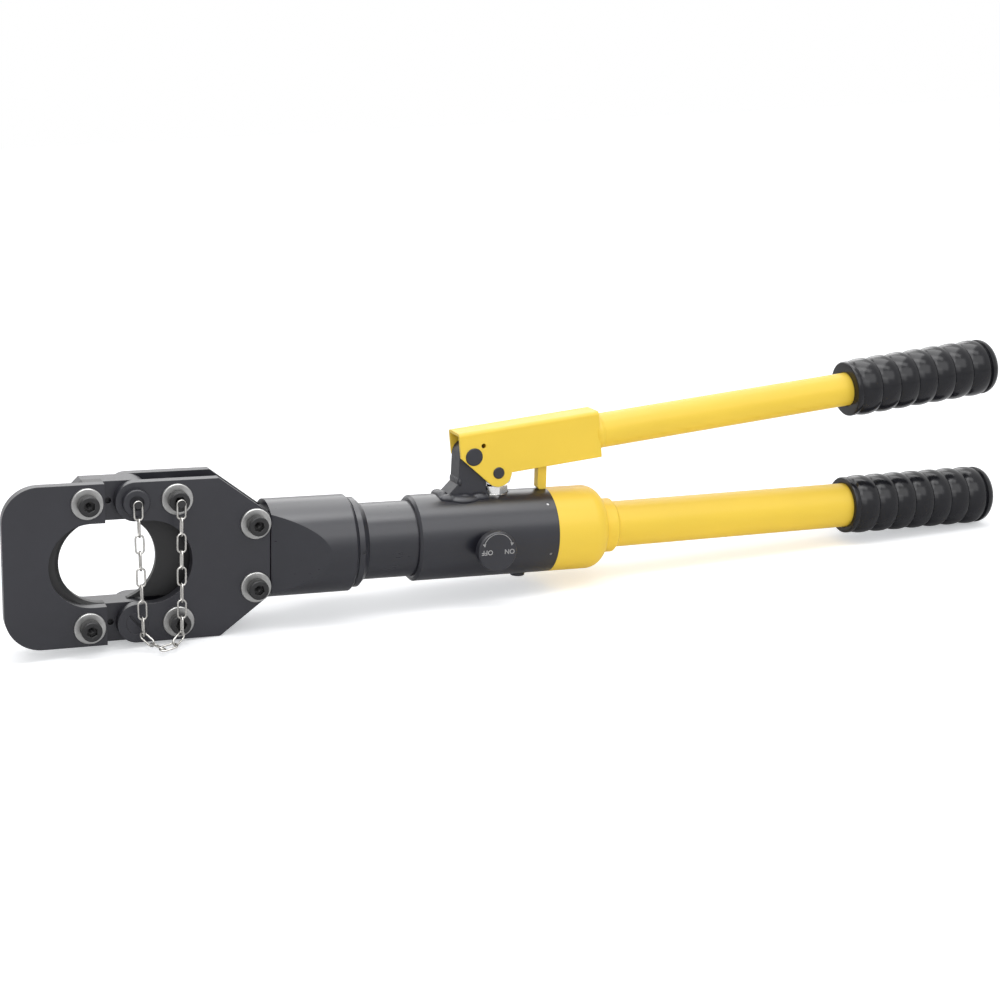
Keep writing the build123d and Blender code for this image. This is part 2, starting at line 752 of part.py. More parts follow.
flat_slope = (yoke_radius - flat_front_y) / flat_length
with BuildPart() as yoke:
    with BuildSketch(tool_plane):
        with BuildLine():
            Polyline(
                (yoke_x, 0),
                (yoke_x, yoke_radius),
                (ring_x - yoke_chamfer, yoke_radius),
                (ring_x, yoke_radius - yoke_chamfer),
                (ring_x, 0),
                close=True,
            )
        make_face()
    revolve(axis=tool_axis)
    with BuildSketch(Plane.XY.offset(axis_height - yoke_radius)):
        for near_or_far in (-1, 1):
            with BuildLine():
                Polyline(
                    (yoke_x, near_or_far * flat_front_y),
                    (yoke_x + 2 * flat_length, near_or_far * (flat_front_y + 2 * flat_length * flat_slope)),
                    (yoke_x, near_or_far * (flat_front_y + 2 * flat_length * flat_slope)),
                    close=True,
                )
            make_face()
    extrude(amount=2 * yoke_radius, mode=Mode.SUBTRACT)
    with BuildSketch(at_y(ear_y)):
        with Locations(((tongue_front_x + spring_seat_x) / 2, 0)):
            Rectangle(spring_seat_x - tongue_front_x, 2 * plate_rear_half)
    extrude(amount=2 * ear_y)
    rod_bore = rod_radius + shaft_fit
    rod_seal_x = yoke_x + rod_seal_setback
    with BuildSketch(tool_plane):
        with BuildLine():
            Polyline(
                (tongue_front_x, 0),
                (tongue_front_x, rod_bore),
                (rod_seal_x, rod_bore),
                (rod_seal_x, rod_bore + seal_section),
                (rod_seal_x + seal_section, rod_bore + seal_section),
                (rod_seal_x + seal_section, rod_bore),
                (spring_seat_x, rod_bore),
                (spring_seat_x, cylinder_bore),
                (cylinder_x, cylinder_bore),
                (cylinder_x, cylinder_thread_radius + seat_fit),
                (thread_end_x, cylinder_thread_radius + seat_fit),
                (thread_end_x, cylinder_radius + seat_fit),
                (ring_x, cylinder_radius + seat_fit),
                (ring_x, 0),
                close=True,
            )
        make_face()
    revolve(axis=tool_axis, mode=Mode.SUBTRACT)
    with BuildSketch(at_y(ear_y)):
        with Locations(*yoke_points):
            Circle(screw_hole_radius)
    extrude(amount=2 * ear_y, mode=Mode.SUBTRACT)
save(yoke, "yoke")

rod_seal = seal_ring(rod_seal_x, rod_bore, rod_bore + seal_section - seat_fit, seal_section - seat_fit)
save(rod_seal, "rod_seal")

with BuildPart() as locking_ring:
    with BuildSketch(tool_plane):
        with BuildLine():
            Polyline(
                (ring_x, cylinder_radius + seat_fit),
                (ring_x, ring_radius),
                (ring_x + ring_length - ring_chamfer, ring_radius),
                (ring_x + ring_length, ring_radius - ring_chamfer),
                (ring_x + ring_length, cylinder_radius + seat_fit),
                close=True,
            )
        make_face()
    revolve(axis=tool_axis)
    with BuildSketch(at_y(-cylinder_radius + 1)):
        with Locations((ring_x + grub_setback, 0)):
            Circle(grub_radius + seat_fit)
    extrude(amount=ring_radius - cylinder_radius + 1, mode=Mode.SUBTRACT)
save(locking_ring, "locking_ring")

grub_screw = cross_pins(
    [(ring_x + grub_setback, 0)],
    grub_radius,
    -ring_radius + grub_depth,
    -cylinder_radius - seat_fit,
)
save(grub_screw, "grub_screw")

barrel_seal_x = cylinder_rear_x - barrel_seal_setback - seal_section
with BuildPart() as cylinder_tube:
    with BuildSketch(tool_plane):
        with BuildLine():
            Polyline(
                (cylinder_x, cylinder_bore),
                (cylinder_x, cylinder_thread_radius),
                (thread_end_x, cylinder_thread_radius),
                (thread_end_x, cylinder_radius),
                (barrel_seal_x, cylinder_radius),
                (barrel_seal_x, cylinder_radius - seal_section),
                (barrel_seal_x + seal_section, cylinder_radius - seal_section),
                (barrel_seal_x + seal_section, cylinder_radius),
                (cylinder_rear_x, cylinder_radius),
                (cylinder_rear_x, cylinder_bore),
                close=True,
            )
        make_face()
    revolve(axis=tool_axis)
save(cylinder_tube, "cylinder_tube")

barrel_seal = seal_ring(
    barrel_seal_x,
    cylinder_radius - seal_section + seat_fit,
    cylinder_radius,
    seal_section - seat_fit,
)
save(barrel_seal, "barrel_seal")

# ---------------------------------------------------------------- ram

rod_x = carrier_x + carrier_length
piston_rear_x = piston_x + piston_length
rod_end_x = piston_rear_x + piston_nut_length
piston_rod = turned([
    (carrier_x + blade_root + rod_end_run + rod_end_gap, 0),
    (carrier_x + blade_root + rod_end_run + rod_end_gap, rod_end_radius),
    (rod_x, rod_end_radius),
    (rod_x, rod_radius),
    (piston_x, rod_radius),
    (piston_x, piston_spindle_radius),
    (rod_end_x, piston_spindle_radius),
    (rod_end_x, 0),
])
save(piston_rod, "piston_rod")

piston_radius = cylinder_bore - shaft_fit
piston_seal_x = piston_x + (piston_length - seal_section) / 2
piston = turned([
    (piston_x, piston_spindle_radius + seat_fit),
    (piston_x, piston_radius),
    (piston_seal_x, piston_radius),
    (piston_seal_x, piston_radius - seal_section),
    (piston_seal_x + seal_section, piston_radius - seal_section),
    (piston_seal_x + seal_section, piston_radius),
    (piston_rear_x, piston_radius),
    (piston_rear_x, piston_spindle_radius + seat_fit),
])
save(piston, "piston")

piston_seal = seal_ring(
    piston_seal_x,
    piston_radius - seal_section + seat_fit,
    piston_radius,
    seal_section - seat_fit,
)
save(piston_seal, "piston_seal")

with BuildPart() as piston_nut:
    with BuildSketch(Plane.YZ.offset(piston_rear_x)):
        with Locations((0, axis_height)):
            RegularPolygon(piston_nut_flats / 2, 6, major_radius=False)
            Circle(piston_spindle_radius + seat_fit, mode=Mode.SUBTRACT)
    extrude(amount=piston_nut_length)
save(piston_nut, "piston_nut")


def coil_spring(start, direction, length, radius, wire, turns):
    """A coil spring between two flat seats, from the middle of the first seat along a direction."""
    height = length - 2 * wire
    with BuildPart() as spring:
        with BuildLine():
            coil = Helix(
                height / turns,
                height,
                radius,
                center=start + direction * wire,
                direction=direction,
            )
        with BuildSketch(Plane(origin=coil @ 0, z_dir=coil % 0)):
            Circle(wire)
        sweep(path=coil, is_frenet=True)
    return spring


return_spring = coil_spring(
    Vector(spring_seat_x, 0, axis_height),
    Vector(1, 0, 0),
    piston_x - spring_seat_x,
    spring_radius,
    spring_wire,
    spring_turns,
)
save(return_spring, "return_spring")

# ---------------------------------------------------------------- pump body

chamber_x = cylinder_rear_x + chamber_length
plunger_bore = plunger_radius + shaft_fit
valve_seat_offset = sqrt(valve_ball_radius**2 - passage_radius**2) + seat_fit
suction_x = plunger_x + plunger_bore + suction_wall
delivery_x = plunger_x - plunger_bore - delivery_wall
groove_radius = spigot_radius - seal_section
reservoir_seal_x = body_rear_x + spigot_length / 2


def bore_along_x(x_from, x_to, height, radius, y=0.0):
    """Cut a round passage along the tool axis, a height above it; it is used inside a part."""
    with BuildSketch(Plane.YZ.offset(x_from)) as mouth:
        with Locations((y, axis_height + height)):
            Circle(radius)
    return extrude(mouth.sketch, amount=x_to - x_from, mode=Mode.PRIVATE)


with BuildPart() as pump_body:
    with BuildSketch(tool_plane):
        with BuildLine():
            Polyline(
                (body_x, cylinder_radius + seat_fit),
                (body_x, body_radius - front_chamfer),
                (body_x + front_chamfer, body_radius),
                (body_rear_x, body_radius),
                (body_rear_x, spigot_radius),
                (reservoir_seal_x, spigot_radius),
                (reservoir_seal_x, groove_radius),
                (reservoir_seal_x + seal_section, groove_radius),
                (reservoir_seal_x + seal_section, spigot_radius),
                (body_rear_x + spigot_length, spigot_radius),
                (body_rear_x + spigot_length, cavity_radius),
                (body_rear_x + spigot_length - cavity_depth, cavity_radius),
                (body_rear_x + spigot_length - cavity_depth, 0),
                (chamber_x, 0),
                (chamber_x, chamber_radius),
                (cylinder_rear_x, chamber_radius),
                (cylinder_rear_x, cylinder_radius + seat_fit),
                close=True,
            )
        make_face()
    revolve(axis=tool_axis)
    with BuildSketch(Plane.XY.offset(axis_height + bore_bottom)):
        with Locations((plunger_x, 0)):
            Circle(plunger_bore)
    extrude(amount=body_radius - bore_bottom, mode=Mode.SUBTRACT)
    with BuildSketch(Plane.XY.offset(axis_height + gland_seat)):
        with Locations((plunger_x, 0)):
            Circle(gland_thread_radius + seat_fit)
    extrude(amount=body_radius - gland_seat, mode=Mode.SUBTRACT)
    with BuildSketch(Plane.XY.offset(axis_height + gland_hex_seat)):
        with Locations((plunger_x, 0)):
            Circle(spot_face_radius)
    extrude(amount=body_radius, mode=Mode.SUBTRACT)
    with BuildSketch(at_y(spindle_tip_y + shaft_fit)):
        with Locations((knob_x, -knob_drop)):
            Circle(spindle_radius + shaft_fit)
    extrude(amount=body_radius, mode=Mode.SUBTRACT)
    with BuildSketch(at_y(spindle_seal_y)):
        with Locations((knob_x, -knob_drop)):
            Circle(spindle_seal_radius)
    extrude(amount=seal_section, mode=Mode.SUBTRACT)
    cavity_x = body_rear_x + spigot_length - cavity_depth
    add(
        [
            bore_along_x(plunger_x, suction_x, -suction_drop, passage_radius),
            bore_along_x(suction_x, suction_x + valve_chamber_length, -suction_drop, valve_chamber_radius),
            bore_along_x(suction_x, cavity_x, -suction_drop, passage_radius),
            bore_along_x(chamber_x, plunger_x, -delivery_drop, passage_radius),
            bore_along_x(delivery_x - valve_chamber_length, delivery_x, -delivery_drop, valve_chamber_radius),
            bore_along_x(
                knob_x,
                cavity_x,
                -knob_drop,
                spindle_tip_radius,
                spindle_tip_y - spindle_tip_length,
            ),
            bore_along_x(chamber_x, knob_x + spindle_radius / 2, -knob_drop, passage_radius),
        ],
        mode=Mode.SUBTRACT,
    )
    with BuildSketch(at_y(spindle_tip_y + shaft_fit)):
        with Locations((knob_x, -knob_drop)):
            Circle(spindle_tip_radius)
    extrude(amount=spindle_tip_y - shaft_fit, mode=Mode.SUBTRACT)
    with BuildSketch(Plane.XY.offset(axis_height - body_radius)):
        with Locations((drain_x, 0)):
            Circle(drain_shank_radius + seat_fit)
    extrude(amount=drain_shank_length, mode=Mode.SUBTRACT)
    for angle in set_screw_angles:
        outward = Vector(0, -cos(radians(angle)), sin(radians(angle)))
        floor_centre = Vector(set_screw_x, 0, axis_height) + outward * (body_radius - set_screw_length)
        with BuildSketch(Plane(origin=floor_centre, x_dir=(1, 0, 0), z_dir=outward)):
            Circle(set_screw_radius + seat_fit)
        extrude(amount=set_screw_length, mode=Mode.SUBTRACT)
save(pump_body, "pump_body")

with BuildPart() as body_set_screws:
    for angle in set_screw_angles:
        outward = Vector(0, -cos(radians(angle)), sin(radians(angle)))
        floor_centre = Vector(set_screw_x, 0, axis_height) + outward * (body_radius - set_screw_length)
        with BuildSketch(Plane(origin=floor_centre, x_dir=(1, 0, 0), z_dir=outward)):
            Circle(set_screw_radius)
        extrude(amount=set_screw_length - set_screw_sunk)
save(body_set_screws, "body_set_screws")

with BuildPart() as drain_plug:
    with BuildSketch(Plane.XY.offset(axis_height - body_radius - drain_head)):
        with Locations((drain_x, 0)):
            Circle(drain_radius)
    extrude(amount=drain_head + drain_radius)
    with Locations((drain_x, 0, axis_height)):
        Cylinder(body_radius + seat_fit, 3 * drain_radius, rotation=(0, 90, 0), mode=Mode.SUBTRACT)
    with BuildSketch(Plane.XY.offset(axis_height - body_radius - drain_head / 2)):
        with Locations((drain_x, 0)):
            Circle(drain_shank_radius)
    extrude(amount=drain_shank_length + drain_head / 2 - seat_fit)
    rim = drain_plug.edges().filter_by(GeomType.CIRCLE).group_by(Axis.Z)[0]
    chamfer(rim, drain_edge)
    with BuildSketch(Plane.XY.offset(axis_height - body_radius - drain_head)):
        with Locations((drain_x, 0)):
            RegularPolygon(drain_socket_radius, 6)
    extrude(amount=drain_head, mode=Mode.SUBTRACT)
save(drain_plug, "drain_plug")

reservoir_seal = seal_ring(
    reservoir_seal_x,
    groove_radius + seat_fit,
    spigot_radius,
    seal_section - seat_fit,
)
save(reservoir_seal, "reservoir_seal")

with BuildPart() as valve_balls:
    with Locations(
        (suction_x + valve_chamber_length - valve_seat_offset, 0, axis_height - suction_drop),
        (delivery_x - valve_seat_offset, 0, axis_height - delivery_drop),
    ):
        Sphere(valve_ball_radius)
save(valve_balls, "valve_balls")


def valve_spring(chamber_end, height):
    """The spring that holds a valve ball on its seat at the rear end of its chamber."""
    length = valve_chamber_length - valve_seat_offset - valve_ball_radius
    return coil_spring(
        Vector(chamber_end - valve_chamber_length, 0, axis_height + height),
        Vector(1, 0, 0),
        length,
        valve_chamber_radius - 2 * valve_spring_wire,
        valve_spring_wire,
        valve_spring_turns,
    )


suction_spring = valve_spring(suction_x + valve_chamber_length, -suction_drop)
save(suction_spring, "suction_spring")
delivery_spring = valve_spring(delivery_x, -delivery_drop)
save(delivery_spring, "delivery_spring")

# ---------------------------------------------------------------- release valve

with BuildPart() as release_knob:
    with BuildSketch(at_y(knob_face_y + knob_thickness)):
        with Locations((knob_x, -knob_drop)):
            Circle(knob_radius)
    extrude(amount=knob_thickness)
    chamfer(release_knob.edges().filter_by(GeomType.CIRCLE), knob_edge)
    with BuildSketch(at_y(knob_face_y + knob_thickness)):
        with Locations((knob_x, -knob_drop)):
            Circle(spindle_radius + seat_fit)
    extrude(amount=knob_thickness / 2, mode=Mode.SUBTRACT)
save(release_knob, "release_knob")

with BuildPart() as release_spindle:
    with BuildSketch(at_y(spindle_tip_y - spindle_tip_length)):
        with Locations((knob_x, -knob_drop)):
            Circle(spindle_radius)
    extrude(amount=spindle_tip_y - spindle_tip_length - knob_face_y - knob_thickness / 2 - seat_fit)
    with BuildSketch(at_y(spindle_tip_y - spindle_tip_length)):
        with Locations((knob_x, -knob_drop)):
            Circle(spindle_radius)
    with BuildSketch(at_y(spindle_tip_y)):
        with Locations((knob_x, -knob_drop)):
            Circle(spindle_tip_radius)
    loft()
save(release_spindle, "release_spindle")

with BuildPart() as spindle_seal:
    with BuildSketch(at_y(spindle_seal_y - seat_fit)):
        with Locations((knob_x, -knob_drop)):
            Circle(spindle_seal_radius - seat_fit)
            Circle(spindle_radius + shaft_fit, mode=Mode.SUBTRACT)
    extrude(amount=seal_section - 2 * seat_fit)
save(spindle_seal, "spindle_seal")

# ---------------------------------------------------------------- pump: bracket, gland and plunger

with BuildPart() as pivot_bracket:
    bracket_half = socket_width / 2 - socket_wall - free_gap
    with BuildSketch(at_y(bracket_half)):
        with BuildLine():
            Polyline(
                (pivot_x + bracket_base_front, bracket_root_height),
                (pivot_x + bracket_base_rear, bracket_root_height),
                (pivot_x + bracket_foot_rear, bracket_foot_height),
                (pivot_x + bracket_boss_radius, pivot_height),
                (pivot_x - bracket_boss_radius, pivot_height),
                (pivot_x + bracket_waist_front, bracket_waist_height),
                close=True,
            )
        make_face()
        with Locations((pivot_x, pivot_height)):
            Circle(bracket_boss_radius)
            Circle(pivot_pin_radius + shaft_fit, mode=Mode.SUBTRACT)
    extrude(amount=2 * bracket_half)
    with BuildSketch(Plane.YZ.offset(body_x)):
        with Locations((0, axis_height)):
            Circle(body_radius + seat_fit)
    extrude(amount=body_length, mode=Mode.SUBTRACT)
    with BuildSketch(Plane.XY.offset(axis_height)):
        with Locations((plunger_x, 0)):
            Circle(spot_face_radius)
    extrude(amount=pivot_height, mode=Mode.SUBTRACT)
save(pivot_bracket, "pivot_bracket")

with BuildPart() as plunger_seal:
    with BuildSketch(Plane.XY.offset(axis_height + gland_seat)):
        with Locations((plunger_x, 0)):
            Circle(gland_thread_radius)
            Circle(plunger_bore, mode=Mode.SUBTRACT)
    extrude(amount=seal_section)
save(plunger_seal, "plunger_seal")

with BuildPart() as gland_nut:
    with BuildSketch(Plane.XY.offset(axis_height + gland_seat + seal_section)):
        with Locations((plunger_x, 0)):
            Circle(gland_thread_radius)
    extrude(amount=gland_hex_seat - gland_seat - seal_section)
    with BuildSketch(Plane.XY.offset(axis_height + gland_hex_seat)):
        with Locations((plunger_x, 0)):
            RegularPolygon(gland_across_flats / 2, 6, major_radius=False, rotation=30)
    extrude(amount=gland_top - gland_hex_seat)
    with BuildSketch(Plane.XY.offset(axis_height + gland_seat)):
        with Locations((plunger_x, 0)):
            Circle(plunger_bore)
    extrude(amount=gland_top - gland_seat, mode=Mode.SUBTRACT)
save(gland_nut, "gland_nut")

handle_turn = radians(handle_slope)
link_x = pivot_x + link_u * cos(handle_turn) - link_v * sin(handle_turn)
link_height = pivot_height + link_u * sin(handle_turn) + link_v * cos(handle_turn)
eye_bottom = gland_top + eye_gap

with BuildPart() as pump_plunger:
    with BuildSketch(Plane.XY.offset(axis_height + plunger_bottom)):
        with Locations((plunger_x, 0)):
            Circle(plunger_radius)
    extrude(amount=eye_bottom - plunger_bottom)
    with BuildSketch(at_y(plunger_radius)):
        with Locations((plunger_x, eye_bottom + eye_height / 2)):
            RectangleRounded(2 * eye_half_width, eye_height, eye_corner)
    extrude(amount=2 * plunger_radius)
    with BuildSketch(at_y(plunger_radius)):
        with Locations((plunger_x, link_height)):
            SlotOverall(2 * eye_slot_half, 2 * (link_pin_radius + eye_slot_margin))
    extrude(amount=2 * plunger_radius, mode=Mode.SUBTRACT)
save(pump_plunger, "pump_plunger")

# ---------------------------------------------------------------- pump handle

nose_distance = hypot(link_u - socket_front_u, link_v - socket_notch_v)
nose_direction = atan2(link_v - socket_notch_v, link_u - socket_front_u)
tangent_direction = nose_direction - asin(nose_radius / nose_distance)
tangent_length = sqrt(nose_distance**2 - nose_radius**2)
tangent_point = (
    socket_front_u + tangent_length * cos(tangent_direction),
    socket_notch_v + tangent_length * sin(tangent_direction),
)

with BuildPart() as handle_socket:
    with BuildSketch(handle_plane):
        with BuildLine():
            Polyline(
                (socket_front_u, socket_top_v),
                (socket_rear_u, socket_top_v),
                (socket_rear_u, socket_bottom_v),
                (link_u, socket_bottom_v),
                (link_u, link_v),
                tangent_point,
                (socket_front_u, socket_notch_v),
                close=True,
            )
        make_face()
        with Locations((link_u, link_v)):
            Circle(nose_radius)
    extrude(amount=socket_width / 2, both=True)
    long_edges = handle_socket.edges().filter_by(Axis(handle_plane.origin, handle_plane.x_dir))
    fillet(long_edges.sort_by(Axis.Z)[-2:], socket_bend_radius)
    with BuildSketch(handle_plane):
        with Locations(((socket_front_u + socket_rear_u) / 2, socket_top_v - socket_wall)):
            Rectangle(
                2 * (socket_rear_u - socket_front_u),
                2 * socket_rear_u,
                align=(Align.CENTER, Align.MAX),
            )
    extrude(amount=socket_width / 2 - socket_wall, both=True, mode=Mode.SUBTRACT)
    with BuildSketch(handle_plane):
        Circle(pivot_pin_radius + seat_fit)
        with Locations((link_u, link_v)):
            Circle(link_pin_radius + seat_fit)
        with Locations((drilled_hole_u, drilled_hole_v)):
            Circle(drilled_hole_radius)
    extrude(amount=socket_width, both=True, mode=Mode.SUBTRACT)
save(handle_socket, "handle_socket")


def handle_turned(points):
    """A piece turned about the pump handle's axis from (u, radius) points."""
    with BuildPart() as piece:
        with BuildSketch(handle_plane):
            with BuildLine():
                Polyline(*[(u, upper_tube_v + radius) for u, radius in points], close=True)
            make_face()
        revolve(axis=handle_axis)
    return piece


upper_tube_end_u = upper_grip_end_u - grip_end_wall - seat_fit
upper_bore_u = socket_rear_u + free_gap
with BuildPart() as upper_tube:
    with BuildSketch(handle_plane):
        with BuildLine():
            Polyline(
                (upper_tube_start_u, upper_tube_v),
                (upper_tube_start_u, upper_tube_v + upper_tube_radius),
                (upper_tube_end_u, upper_tube_v + upper_tube_radius),
                (upper_tube_end_u, upper_tube_v + upper_tube_radius - upper_tube_wall),
                (upper_bore_u, upper_tube_v + upper_tube_radius - upper_tube_wall),
                (upper_bore_u, upper_tube_v),
                close=True,
            )
        make_face()
    revolve(axis=handle_axis)
    for near_or_far in (-1, 1):
        with BuildSketch(handle_plane.offset(near_or_far * (socket_width / 2 - socket_wall - seat_fit))):
            with Locations(((upper_tube_start_u + upper_bore_u) / 2, upper_tube_v)):
                Rectangle(upper_bore_u - upper_tube_start_u, 2 * upper_tube_radius)
        extrude(amount=near_or_far * upper_tube_radius, mode=Mode.SUBTRACT)
save(upper_tube, "upper_tube")

peg_top = pivot_height + (peg_x - pivot_x) * sin(handle_turn) / cos(handle_turn)
with BuildPart() as stop_peg:
    with BuildSketch(Plane.XY.offset(axis_height + body_radius + stop_gap)):
        with Locations((peg_x, 0)):
            Rectangle(peg_size, peg_size)
    extrude(amount=peg_top - body_radius - stop_gap)
    foot = stop_peg.edges().filter_by(Axis.Y).group_by(Axis.Z)[0].sort_by(Axis.X)[0]
    chamfer(foot, peg_chamfer)
    tube_start = handle_plane.from_local_coords((upper_tube_start_u, upper_tube_v, 0))
    with BuildSketch(Plane(origin=tube_start, x_dir=(0, 1, 0), z_dir=handle_plane.x_dir)):
        Circle(upper_tube_radius + seat_fit)
    extrude(amount=socket_rear_u, mode=Mode.SUBTRACT)
save(stop_peg, "stop_peg")

pin_points = [
    (pivot_x, pivot_height, pivot_pin_radius),
    (link_x, link_height, link_pin_radius),
]
pin_groove_y = socket_width / 2 + seat_fit


def handle_pin(x, height, radius):
    """A cross pin of the pump handle, with the groove for its clip at the far end."""
    pin = cross_pins([(x, height)], radius, -socket_width / 2 - pin_nose, socket_width / 2 + pin_tail, pin_edge)
    with BuildPart() as grooved:
        add(pin.part)
        with BuildSketch(at_y(pin_groove_y + pin_clip_thickness)):
            with Locations((x, height)):
                Circle(radius + clip_groove_depth)
                Circle(radius - clip_groove_depth, mode=Mode.SUBTRACT)
        extrude(amount=pin_clip_thickness, mode=Mode.SUBTRACT)
    return grooved


pivot_pin = handle_pin(*pin_points[0])
save(pivot_pin, "pivot_pin")
link_pin = handle_pin(*pin_points[1])
save(link_pin, "link_pin")

with BuildPart() as pin_clips:
    for x, height, radius in pin_points:
        with BuildSketch(at_y(pin_groove_y + pin_clip_thickness - seat_fit)):
            with Locations((x, height)):
                Circle(radius + pin_clip_rim)
                Circle(radius - clip_groove_depth + seat_fit, mode=Mode.SUBTRACT)
                Rectangle(3 * radius, radius, align=(Align.MIN, Align.CENTER), mode=Mode.SUBTRACT)
        extrude(amount=pin_clip_thickness - 2 * seat_fit)
save(pin_clips, "pin_clips")


def grip(plane, axis, start, height, radius, bore):
    """A ribbed rubber grip with a lip at its mouth and a closed, rounded end."""
    end = start + grip_length
    ribs_start = start + grip_lip + grip_groove
    rib_length = (end - grip_end_length - ribs_start) / grip_ribs
    valley = height + radius - rib_depth
    crest = height + radius
    with BuildPart() as piece:
        with BuildSketch(plane):
            with BuildLine():
                Line((start, height + bore), (start, valley))
                ThreePointArc((start, valley), (start + grip_lip / 2, crest), (start + grip_lip, valley))
                Line((start + grip_lip, valley), (ribs_start, valley))
                for count in range(grip_ribs):
                    left = ribs_start + count * rib_length
                    ThreePointArc(
                        (left, valley),
                        (left + rib_crest * rib_length, crest),
                        (left + rib_length, valley),
                    )
                Line((end - grip_end_length, valley), (end - grip_end_length, crest))
                Line((end - grip_end_length, crest), (end - grip_end_radius, crest))
                ThreePointArc(
                    (end - grip_end_radius, crest),
                    (end - grip_end_radius * (1 - sqrt(0.5)), crest - grip_end_radius * (1 - sqrt(0.5))),
                    (end, crest - grip_end_radius),
                )
                Polyline(
                    (end, crest - grip_end_radius),
                    (end, height),
                    (end - grip_end_wall, height),
                    (end - grip_end_wall, height + bore),
                    (start, height + bore),
                )
            make_face()
        revolve(axis=axis)
    return piece


upper_grip = grip(
    handle_plane,
    handle_axis,
    upper_grip_start_u,
    upper_tube_v,
    upper_grip_radius,
    upper_tube_radius + seat_fit,
)
save(upper_grip, "upper_grip")

plug_u = upper_tube_end_u - plug_length
upper_tube_plug = handle_turned([
    (plug_u, 0),
    (plug_u, upper_tube_radius - upper_tube_wall - seat_fit),
    (upper_tube_end_u, upper_tube_radius - upper_tube_wall - seat_fit),
    (upper_tube_end_u, 0),
])
save(upper_tube_plug, "upper_tube_plug")

# ---------------------------------------------------------------- fixed handle

flange_x = body_rear_x + spigot_length + seat_fit
flange_rear_x = flange_x + bladder_flange + seat_fit
chord_middle_x = shoulder_x + shoulder_length / 2
chord_middle_radius = (body_radius + collar_neck_radius) / 2
chord_length = hypot(shoulder_length, body_radius - collar_neck_radius)
bulge_x = chord_middle_x + shoulder_bulge * (body_radius - collar_neck_radius) / chord_length
bulge_radius = chord_middle_radius + shoulder_bulge * shoulder_length / chord_length
tube_inner = lower_tube_radius - lower_tube_wall

with BuildPart() as collar:
    with BuildSketch(tool_plane):
        with BuildLine():
            Line((collar_x, spigot_radius + seat_fit), (collar_x, body_radius))
            Line((collar_x, body_radius), (shoulder_x, body_radius))
            ThreePointArc((shoulder_x, body_radius), (bulge_x, bulge_radius), (neck_x, collar_neck_radius))
            Polyline(
                (neck_x, collar_neck_radius),
                (neck_end_x - collar_neck_edge, collar_neck_radius),
                (neck_end_x, collar_neck_radius - collar_neck_edge),
                (neck_end_x, tube_inner),
                (flange_rear_x, tube_inner),
                (flange_rear_x, spigot_radius + seat_fit),
                (collar_x, spigot_radius + seat_fit),
            )
        make_face()
    revolve(axis=tool_axis)
    with BuildSketch(Plane(origin=rear_plane.origin, x_dir=(0, 1, 0), z_dir=rear_plane.x_dir)):
        Circle(lower_tube_radius + seat_fit)
    extrude(amount=lower_grip_start_u, mode=Mode.SUBTRACT)
save(collar, "collar")

lower_tube_end_u = lower_grip_end_u - grip_end_wall - seat_fit
lower_tube_outline = [
    (0, tube_inner),
    (0, lower_tube_radius),
    (lower_tube_end_u, lower_tube_radius),
    (lower_tube_end_u, tube_inner),
]
lower_tube = turned(lower_tube_outline, rear_plane, rear_axis)
save(lower_tube, "lower_tube")

bladder_end_x = flange_x + bladder_length
oil_bladder = turned([
    (flange_x, bladder_radius - bladder_wall),
    (flange_x, spigot_radius),
    (flange_x + bladder_flange, spigot_radius),
    (flange_x + bladder_flange, bladder_radius),
    (bladder_end_x, bladder_radius),
    (bladder_end_x, 0),
    (bladder_end_x - bladder_wall, 0),
    (bladder_end_x - bladder_wall, bladder_radius - bladder_wall),
])
save(oil_bladder, "oil_bladder")

reservoir_plug_outline = [
    (lower_tube_end_u - plug_length, 0),
    (lower_tube_end_u - plug_length, tube_inner - seat_fit),
    (lower_tube_end_u, tube_inner - seat_fit),
    (lower_tube_end_u, 0),
]
reservoir_plug = turned(reservoir_plug_outline, rear_plane, rear_axis)
save(reservoir_plug, "reservoir_plug")

lower_grip = grip(rear_plane, rear_axis, lower_grip_start_u, 0, grip_radius, lower_tube_radius + seat_fit)
save(lower_grip, "lower_grip")
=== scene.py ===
"""Dressed model of a hand-operated hydraulic cable cutter, laid out as a Blender add-on.

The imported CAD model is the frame. The operators below finish its surfaces and add the return
spring, the ribbed grips, the safety chain, the socket screws, the release knob's marks, the weld
beads and the stage.
Everything is in metres: +X runs from the head to the handles, +Z is up and -Y is the knob's side.
"""

import json
from math import atan2, cos, hypot, pi, radians, sin, sqrt

import bpy
from bpy.props import FloatProperty, FloatVectorProperty, IntProperty, PointerProperty
from mathutils import Matrix, Vector


